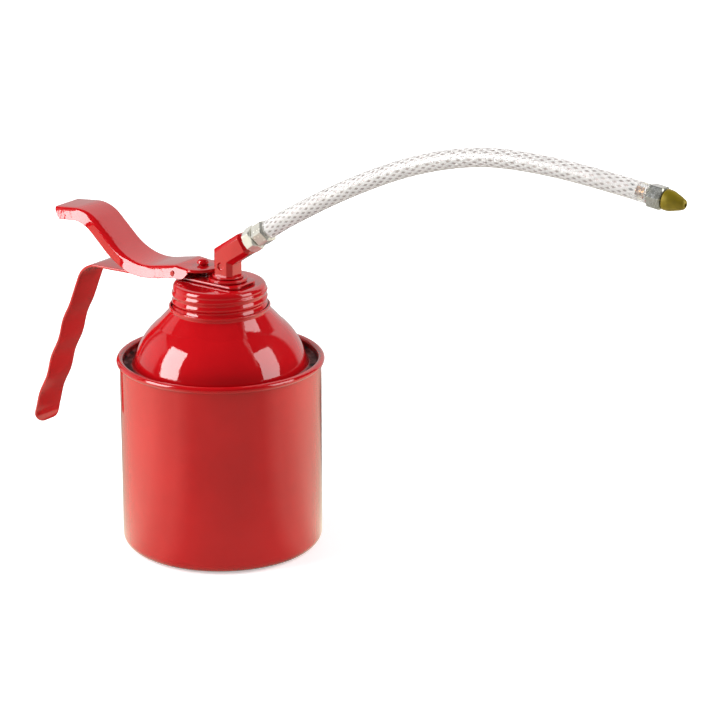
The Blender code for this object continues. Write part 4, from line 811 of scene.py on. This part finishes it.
can = {"radius": 40.0, "wall": 0.6, "height": 76.6, "corner": 4.0, "columns": 160}
dome = {
    "wall": 0.6, "lipInside": 40.3, "lipDrop": 75.3, "roof": 76.9, "bead": 1.375, "beadPlace": (39.875, 76.275),
    "skirt": 39.1, "gutter": 38.5, "gutterFloor": 74.4, "foot": 34.6, "footRound": 1.1, "gutterRound": 1.0,
    "centre": (6.8, 69.7), "curve": 28.2, "shoulder": 50.0, "shoulderBend": 2.5,
    "neck": 20.05, "neckFoot": 96.8, "neckTop": 98.9, "neckLip": 0.35, "ledge": 16.6, "ledgeTop": 92.4,
    "ledgeWall": 0.6, "groove": 19.3, "rib": 0.4, "columns": 160,
}
thread = {"pitch": 3.05, "depth": 0.55, "start": 1.3, "rows": 16}


def ridge(angle, height, low, high):
    # 0.5 + 0.5 cos of the turns up the right-hand thread, fading out over a third of its pitch
    turns = (height - capFloor - thread["start"]) / thread["pitch"] - angle / fullTurn
    fade = np.clip(np.minimum(height - low, high - height) / (thread["pitch"] / 3), 0.0, 1.0)
    return 0.5 + 0.5 * np.cos(fullTurn * turns), fade * fade * (3 - 2 * fade)


def ridges(*walls):
    # for turned: each wall (radius, low, high, depth, base) moves outwards by depth times (the ridge + base)
    def shape(angle, radius, height):
        moved = 0.0
        for wall, low, high, depth, base in walls:
            up, fade = ridge(angle, height, low, high)
            moved = moved + depth * fade * (up + base) * (np.abs(radius - wall) < 0.001)
        return moved

    return shape


def threadRows(radius, low, high):
    # plain points up a wall, close enough together for the ridges
    count = round((high - low) / thread["pitch"] * thread["rows"])
    return [(radius, height) for height in np.linspace(low, high, count + 1)]


def makeCan():
    radius, wall, height, corner = (can[key] for key in ("radius", "wall", "height", "corner"))
    line = roundedLine([
        (0.0, 0.0), (radius, 0.0, corner), (radius, height, 0.1), (radius - wall, height, 0.1),
        (radius - wall, wall, corner - wall), (0.0, wall),
    ], 12)
    return redPiece("canBody", [(turned(line, can["columns"]), "poles")], redEnamel("canEnamel"), "can", "can_body")


def makeDome():
    cx, cz = dome["centre"]
    wall, foot, gutter, floor = (dome[key] for key in ("wall", "foot", "gutter", "gutterFloor"))
    ledge, ledgeTop, neck, neckTop, lip = (dome[key] for key in ("ledge", "ledgeTop", "neck", "neckTop", "neckLip"))
    inner = dome["curve"] - wall
    footTurn = math.degrees(math.atan2(floor - cz, foot - cx))
    ledgeFloor = ledgeTop - dome["ledgeWall"]
    innerEnd = math.degrees(math.asin((ledgeFloor - cz) / inner))
    corners = [(dome["lipInside"], dome["lipDrop"]), (dome["lipInside"], dome["roof"])]
    corners += [(dome["skirt"], dome["roof"]), (dome["skirt"], floor, 0.4)]
    corners += [(gutter, floor - wall, 0.4), (foot - wall, floor - wall)]
    corners += arcLine((cx, cz), inner, footTurn, innerEnd, 16).tolist()
    corners += [(ledge, ledgeFloor), (ledge, ledgeTop)] + threadRows(dome["groove"], ledgeTop, neckTop)
    corners += [(neck, neckTop, lip)] + threadRows(neck, dome["neckFoot"], neckTop - lip * 2)[::-1]
    outer = arcLine((cx, cz), dome["curve"], dome["shoulder"], footTurn, 22).tolist()
    corners += [(*outer[0], dome["shoulderBend"])] + outer[1:-1] + [(*outer[-1], dome["footRound"])]
    corners += [(gutter, floor, dome["gutterRound"])]
    corners += arcLine(dome["beadPlace"], dome["bead"], 180.0, -45.0, 20).tolist()
    inside = (dome["groove"], ledgeTop, neckTop, thread["depth"], -1.0)
    outside = (neck, dome["neckFoot"] - 1.0, neckTop, dome["rib"], -1.0)
    grid = turned(roundedLine(corners, 6), dome["columns"], 0.0, ridges(inside, outside))
    finish = gutterEnamel("domeEnamel", {"inside": foot, "outside": gutter, "height": floor})
    return redPiece("domeTop", [(grid, "loop")], finish, "can", "dome_top")


makeCan()
makeDome()
print("stage: can and dome")


# screw cap and washer

cap = {"root": 18.4, "shoulder": 2.0, "wall": 1.0, "topWall": 1.0, "rodHole": 2.0, "stemHole": 3.3, "columns": 160}
washer = {"inside": 3.3, "outside": 7.7, "edge": 0.3}


def headHoles(low, high):
    # the holes for the rod and the elbow's stem, through the cap and the strip
    return [column(cap["rodHole"], low, high, plungerX), column(cap["stemHole"], low, high, spoutX)]


def makeCap():
    threadTop, roof = capTop - cap["shoulder"], capTop - cap["topWall"]
    inside = cap["root"] - cap["wall"]
    corners = [(0.0, capTop)]
    corners += arcLine((cap["root"] - cap["shoulder"], threadTop), cap["shoulder"], 90.0, 0.0, 10)[:-1].tolist()
    corners += threadRows(cap["root"], capFloor, threadTop)[::-1]
    corners += [(inside, capFloor), (inside, roof), (0.0, roof)]
    crest = ridges((cap["root"], capFloor, threadTop, thread["depth"], 0.0))
    grid = turned(np.array(corners), cap["columns"], 0.0, crest)
    holes = headHoles(roof - 1.0, capTop + 1.0)
    return redPiece("screwCap", [(grid, "poles")], redEnamel("capEnamel"), "pump_head", "cap", cutters=holes)


def makeWasher():
    inside, outside, edge = washer["inside"], washer["outside"], washer["edge"]
    line = roundedLine([
        (inside, washerTop), (inside, washerFloor), (outside, washerFloor, edge), (outside, washerTop, edge),
        (inside + 0.01, washerTop),
    ], 5)
    parts = [(turned(line, 96, centre=spoutX), "loop")]
    return redPiece("spoutWasher", parts, redEnamel("washerEnamel"), "pump_head", "spout_washer")


makeCap()
makeWasher()
print("stage: cap and washer")


# grip strip

strip = {
    # x, height from the strip's top, and bend: front, two of the step, back, hook and end
    "corners": [
        (13.8, 0.0), (-19.6, 0.0, 6.0), (-25.6, -2.1, 6.0), (-64.8, -3.3, 11.0), (-93.7, -73.9, 7.0), (-92.7, -78.2)],
    "width": 15.0, "thickness": 1.0, "edge": 0.36, "corner": 5.0, "frontCorner": 3.6,
    "waveHeight": 0.8, "wavePitch": 18.6, "waveEnd": 5.5, "waves": 3, "stride": 0.9,
}
ear = {"foot": 5.4, "radius": 1.6, "thickness": 1.0, "inset": 0.3, "edge": 0.2}


def roundedBox(half, top, bottom, edge):
    # four quarter circles joined by straight sides, for each station, as (across, depth)
    turn = np.radians(np.linspace(0.0, 90.0, 5))
    parts = []
    for corner, (sideX, sideZ) in enumerate(((1, 1), (-1, 1), (-1, -1), (1, -1))):
        angle = turn + corner * math.pi / 2
        x = sideX * (half - edge)[:, None] + edge * np.cos(angle)[None]
        middle = (bottom - edge) if sideZ > 0 else (top + edge)
        parts.append(np.stack([x, middle[:, None] + edge * np.sin(angle)[None]], -1))
    return np.concatenate(parts, 1)


def earGrid(side):
    # outline of the ear in (x, z) carried across its thickness, with its edges drawn in
    foot = stripTop - strip["thickness"] / 2
    outline = np.concatenate([
        [(pivot[0] - ear["foot"] / 2, foot), (pivot[0] + ear["foot"] / 2, foot)],
        arcLine(pivot, ear["radius"], 0.0, 180.0, 20),
    ])
    outside = strip["width"] / 2 - ear["inset"]
    across = outside - ear["thickness"] * np.array([0.0, 0.2, 0.8, 1.0])
    inset = np.array([ear["edge"], 0.0, 0.0, ear["edge"]])
    middle = np.array([pivot[0], pivot[1] - 0.5])
    shrink = 1.0 - inset[:, None, None] / ear["radius"]
    flat = middle + (outline - middle)[None] * shrink
    return np.stack([flat[..., 0], np.broadcast_to(side * across[:, None], flat.shape[:2]), flat[..., 1]], -1)


def makeStrip():
    line = roundedLine([(x, stripTop + rise, *bend) for x, rise, *bend in strip["corners"]], 16)
    length, edge = distances(line)[-1], strip["edge"]
    bends, rims = easedMarks(strip["corner"], 0.0, 13), np.array([0.0, 0.08, 0.2, 0.36])
    marks = marksFor(line, strip["stride"], np.concatenate([bends, length - bends, rims, length - rims]))
    places, inward = sideways(line, marks)
    near = np.minimum(marks, length - marks)
    rim = cornerInset(near, edge)
    inset = cornerInset(near, np.where(marks < length / 2, strip["frontCorner"], strip["corner"]))
    half = strip["width"] / 2 - inset - rim
    turn = (marks - length + strip["waveEnd"]) / strip["wavePitch"] + strip["waves"]
    inWaves = (turn > 0.0) & (turn < strip["waves"])
    lift = np.where(inWaves, strip["waveHeight"] * (1.0 - np.cos(fullTurn * turn)) / 2, 0.0)
    outline = roundedBox(half, rim * 0.9 - lift, strip["thickness"] - rim * 0.9 - lift, edge * 0.98)
    parts = [(swept(places, inward, outline), "caps"), (earGrid(1), "caps"), (earGrid(-1), "caps")]
    holes = headHoles(stripTop - strip["thickness"] - 1.0, stripTop + 1.0)
    return redPiece("gripStrip", parts, redEnamel("gripEnamel"), "pump_head", "handle_strip", 40.0, holes)


makeStrip()
print("stage: grip strip")


# thumb lever, its pin and the plunger rod

lever = {
    "sheet": 1.1, "depth": 4.9, "lip": 0.15, "bend": 1.95, "half": 9.0, "noseBack": 1.0,
    "front": 7.12, "flatBack": 3.0, "flangeFront": -0.4, "flangeRun": 3.8, "flangeEnd": 2.6,
    # valley, crest and tip, as x, height from the lever's flat top, and bend
    "shoulder": (0.4, 0.2, 6.0), "back": [(-39.4, -4.15, 24.0), (-61.5, 15.8, 15.0), (-78.2, 14.0)],
    "tipWidth": 16.4, "tipCorner": 1.0, "rimRound": 0.3, "stride": 0.8,
    "slopeSplay": 6.0, "splay": 17.0, "slopeFrom": -60.0, "slopeTo": -38.0, "slopeFade": 5.0,
    "slotFront": 2.4, "slotBack": 1.8, "slotHalf": 1.8, "pinHole": 1.1,
}
pin = {"radius": 0.9, "head": 0.98, "headHeight": 0.1, "half": 9.5}
rod = {"radius": 1.5, "head": 2.45, "relief": 0.5, "rise": 0.8, "dome": 1.9, "paintFrom": 113.0}

leverTop = footTop + seatGap + lever["lip"] + lever["sheet"]


def leverLine():
    shift, gap, bend = lever["shoulder"]
    shoulderZ = pivot[1] + ear["radius"] + seatGap + lever["sheet"] + gap
    front = [(plungerX + lever["front"], leverTop), (plungerX - lever["flatBack"], leverTop, bend)]
    back = [(x, leverTop + rise, *bends) for x, rise, *bends in lever["back"]]
    return roundedLine(front + [(pivot[0] + shift, shoulderZ, bend)] + back, 18)


def leverHalf(x, toTip):
    # half an ellipse round the rod, then tapering with slightly round corners at the tip
    noseX = plungerX - lever["noseBack"]
    reach = plungerX + lever["front"] - noseX
    nose = lever["half"] * np.sqrt(np.maximum(0.002, 1.0 - (np.maximum(0.0, x - noseX) / reach) ** 2))
    taper = np.clip((noseX - x) / (noseX - lever["back"][-1][0]), 0.0, 1.0)
    back = lever["half"] + (lever["tipWidth"] / 2 - lever["half"]) * taper - cornerInset(toTip, lever["tipCorner"])
    return np.where(x > noseX, nose, back)


def channel(half, depth, splay):
    # across and depth of an inverted channel: the web, round bends that stop at the splay, then flanges
    # that go on at the splay down to round rims; the inside runs parallel to the outside
    rim = lever["rimRound"]
    room = depth - rim - 0.05
    bend = np.minimum(np.minimum(lever["bend"], room), half * 0.6)[:, None]
    lean = np.where(room < lever["bend"], 0.0, splay)[:, None]
    share = np.linspace(0.0, 1.0, 8)[None]
    up = math.pi / 2 + (lean - math.pi / 2) * share
    centre = half[:, None] - bend
    outer = np.stack([centre + bend * np.cos(up), bend * (1.0 - np.sin(up))], -1)
    sheet = np.minimum(lever["sheet"], 0.5 * half)[:, None]
    small = np.maximum(bend - sheet, 0.05)
    inner = np.stack([centre + small * np.cos(up), bend - small * np.sin(up)], -1)[:, ::-1]
    low = depth[:, None] - rim
    outX = outer[:, -1:, 0] + np.tan(lean) * (low - outer[:, -1:, 1])
    inX = np.maximum(0.02, inner[:, :1, 0] + np.tan(lean) * (low - inner[:, :1, 1]))
    turn = np.radians(np.linspace(0.0, 180.0, 5))[None]
    foot = np.stack([(outX + inX) / 2 + (outX - inX) / 2 * np.cos(turn), low + rim * np.sin(turn)], -1)
    right = np.concatenate([outer, foot, inner], 1)
    left = right[:, ::-1] * np.array([-1.0, 1.0])
    return np.concatenate([right, left], 1)


def throughPivot(grid):
    # a grid turned about Z, laid along Y through the pin's middle
    return np.stack([grid[..., 0] + pivot[0], grid[..., 2], grid[..., 1] + pivot[1]], -1)


def makeLever():
    line = leverLine()
    length = distances(line)[-1]
    nose, corners = easedMarks(lever["front"] + lever["noseBack"], 8.0, 26), easedMarks(lever["tipCorner"], 0.0, 9)
    marks = marksFor(line, lever["stride"], np.concatenate([nose, length - corners]))
    places, inward = sideways(line, marks)
    x, toTip = places[:, 0], length - marks
    lip = lever["sheet"] + lever["lip"]
    front = np.clip((plungerX + lever["flangeFront"] - x) / lever["flangeRun"], 0.0, 1.0)
    back = np.clip(toTip / lever["flangeEnd"], 0.0, 1.0)
    share = np.minimum(front * (2 - front), back)
    depth = lip + (lever["depth"] - lip) * share
    fade = lever["slopeFade"]
    slope = np.clip((x - lever["slopeFrom"]) / fade, 0.0, 1.0) * np.clip((lever["slopeTo"] - x) / fade, 0.0, 1.0)
    splay = np.radians(lever["splay"] + (lever["slopeSplay"] - lever["splay"]) * slope)
    grid = swept(places, inward, channel(leverHalf(x, toTip), depth, splay))
    half = lever["slotHalf"]
    ends = (plungerX + lever["slotFront"] - half, plungerX - lever["slotBack"] + half - 0.02)
    slot = np.concatenate([
        arcLine((ends[0], 0.0), half, -90.0, 90.0, 16), arcLine((ends[1], 0.0), half, 90.0, 270.0, 16)])
    slotGrid = np.stack([np.insert(slot, 2, height, axis=1) for height in (leverTop - 3.0, leverTop + 2.0)])
    hole = throughPivot(column(lever["pinHole"], -12.0, 12.0)[0])
    cutters = [(slotGrid, "caps"), (hole, "poles")]
    return redPiece("thumbLever", [(grid, "caps")], redEnamel("leverEnamel"), "lever", "thumb_lever", 40.0, cutters)


def makePin():
    # a shank along Y with a low domed head outside each flange
    head, half = pin["head"], pin["half"]
    end = half + pin["headHeight"]
    side = [(0.0, end), (head * 0.6, end - 0.03, 0.4), (head, half + 0.08, 0.2), (head, half, 0.05)]
    side.append((pin["radius"], half))
    line = roundedLine(side + [(r, -z, *bend) for r, z, *bend in side[::-1]], 5)
    parts = [(throughPivot(turned(line, 48)), "poles")]
    return redPiece("leverPin", parts, redEnamel("pinEnamel"), "pump_head", "pivot_pin")


def rodFinish(name):
    # bright steel below the lever, red enamel on the head above it
    material, tree, shader = enamelled(name)
    bare = below(tree, 2, rod["paintFrom"], 0.1)
    recolour(tree, shader, bare, (0.62, 0.62, 0.62, 1.0))
    wire(shader, {"Metallic": bare})
    return material


def makeRod():
    low, high = span("plunger_rod", 2)
    radius, head, top = rod["radius"], rod["head"], high + rod["rise"]
    under = leverTop + seatGap
    line = roundedLine([
        (0.0, low), (radius, low, 0.2), (radius, under, 0.15), (head, under + rod["relief"], 0.2),
        (head - 0.05, top - 0.4, rod["dome"]), (0.0, top),
    ], 8)
    piece = pieceFrom("plungerRod", [(turned(line, 64, centre=plungerX), "poles")], rodFinish("rodFinish"))
    return settle(piece, "plunger", "steel", "plunger_rod")


makeLever()
makePin()
makeRod()
print("stage: lever, pin and rod")


# spout elbow

elbow = {
    "stem": 3.0, "foot": 6.2, "bar": 9.2, "broken": 1.75, "edge": 0.35, "length": 13.4, "endChamfer": 1.3,
    "socket": 2.6, "socketDepth": 5.0, "dimple": 1.9, "dimpleDepth": 0.5, "dimpleRise": 4.1, "mitreSoft": 0.5,
    "mitre": ((1.0, 0.0, 0.0), (0.55, 0.38, 0.07), (0.25, 0.5, 0.25), (0.07, 0.38, 0.55), (0.0, 0.0, 1.0)),
}


def barOutline():
    # a square with broken edges, each of its eight corners a little round, as (across, y)
    half = elbow["bar"] / 2
    flat = half - elbow["broken"]
    points = [
        (half, 0.0), (half, flat), (flat, half), (-flat, half), (-half, flat), (-half, -flat), (-flat, -half),
        (flat, -half), (half, -flat), (half, 0.0),
    ]
    return roundedLine(points[:1] + [(*point, elbow["edge"]) for point in points[1:-1]] + points[-1:], 4)[:-1]


def barGrid():
    # the outline at stations: up from the foot, through the mitre by shares of before, corner and after, and
    # along the spout to its chamfered end
    outline = barOutline()
    flat = outline[:, :1]
    level, side = np.array([1.0, 0.0]), np.array([ahead[1], -ahead[0]])
    corner = crossing + (level + side) / (1.0 + level @ side) * flat
    before, after = corner - np.array([0.0, elbow["mitreSoft"]]), corner + ahead * elbow["mitreSoft"]
    stations = [np.array([spoutX, footTop - 0.4]) + level * flat]
    for first, middle, last in elbow["mitre"]:
        stations.append(before * first + corner * middle + after * last)
    ys = [outline[:, 1]] * len(stations)
    bevel = elbow["endChamfer"]
    ends = (
        (bevel + 0.3, 0.0), (bevel + 0.05, 0.04), (bevel - 0.2, 0.24), (0.2, bevel - 0.24), (0.05, bevel - 0.05),
        (0.0, bevel + 0.2),
    )
    for back, draw in ends:
        shrink = 1.0 - draw / (elbow["bar"] / 2)
        stations.append(crossing + ahead * (elbow["length"] - back) + side * flat * shrink)
        ys.append(outline[:, 1] * shrink)
    return np.stack([np.stack([flat[:, 0], y, flat[:, 1]], -1) for flat, y in zip(stations, ys)])


def makeElbow():
    stem, footFloor = elbow["stem"], footTop - spout["footHeight"]
    base = roundedLine([
        (0.0, stemFloor), (stem, stemFloor, 0.3), (stem, footFloor), (elbow["foot"], footFloor, 0.2),
        (elbow["foot"], footTop, 0.3), (0.0, footTop),
    ], 5)
    piece = pieceFrom("spoutElbow", [(barGrid(), "caps")], redEnamel("elbowEnamel"), 24.0)
    dish = roundedLine([(0.0, 0.0), (elbow["dimple"] - 0.5, 0.0, 0.6), (elbow["dimple"] + 0.1, 1.2), (0.0, 1.2)], 8)
    dent = turned(dish, 48)
    face = elbow["bar"] / 2 - elbow["dimpleDepth"]
    dent = np.stack([dent[..., 0] + spoutX, -face - dent[..., 2], dent[..., 1] + footTop + elbow["dimpleRise"]], -1)
    end = elbow["length"]
    socket = leant(column(elbow["socket"], end - elbow["socketDepth"], end + 1.0)[0], crossing, spoutLean)
    cutFrom(piece, [(dent, "poles"), (socket, "poles")])
    footPiece = pieceFrom("foot", [(turned(base, 96, centre=spoutX), "poles")], piece.data.materials[0])
    joined = bmesh.new()
    joined.from_mesh(piece.data)
    joined.from_mesh(footPiece.data)
    joined.to_mesh(piece.data)
    joined.free()
    bpy.data.objects.remove(footPiece, do_unlink=True)
    soften(piece, piece.data.materials[0], 24.0)
    return settle(piece, "pump_head", "red_enamel", "spout_elbow")


makeElbow()
print("stage: elbow")


# the pump inside, on its CAD nodes


def dressInside():
    alloy = metal("castAlloy", (0.46, 0.47, 0.48), (0.34, 0.35, 0.36), (0.42, 0.6), 120.0, 0.03)
    brass = metal("plainBrass", (0.66, 0.46, 0.18), (0.56, 0.38, 0.14), (0.24, 0.38))
    steel = metal("brightSteel", (0.64, 0.64, 0.64), (0.54, 0.54, 0.55), (0.14, 0.26), 160.0)
    rubber = softFinish("blackRubber", (0.03, 0.03, 0.03), (0.045, 0.045, 0.045), (0.6, 0.8), 300.0, 0.02)
    plastic = softFinish("tubePlastic", (0.80, 0.79, 0.74), (0.72, 0.71, 0.66), (0.35, 0.5), 90.0, 0.01)
    finishes = (
        (alloy, ["pump_body"]), (brass, ["rod_gland", "piston", "inlet_seat"]),
        (steel, ["piston_ball", "inlet_ball", "return_spring"]), (rubber, ["cap_gasket", "rod_seal", "piston_seal"]),
        (plastic, ["suction_tube", "strainer"]),
    )
    for finish, nodes in finishes:
        for node in nodes:
            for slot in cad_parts[node].material_slots:
                slot.material = finish


dressInside()
print("stage: pump inside")
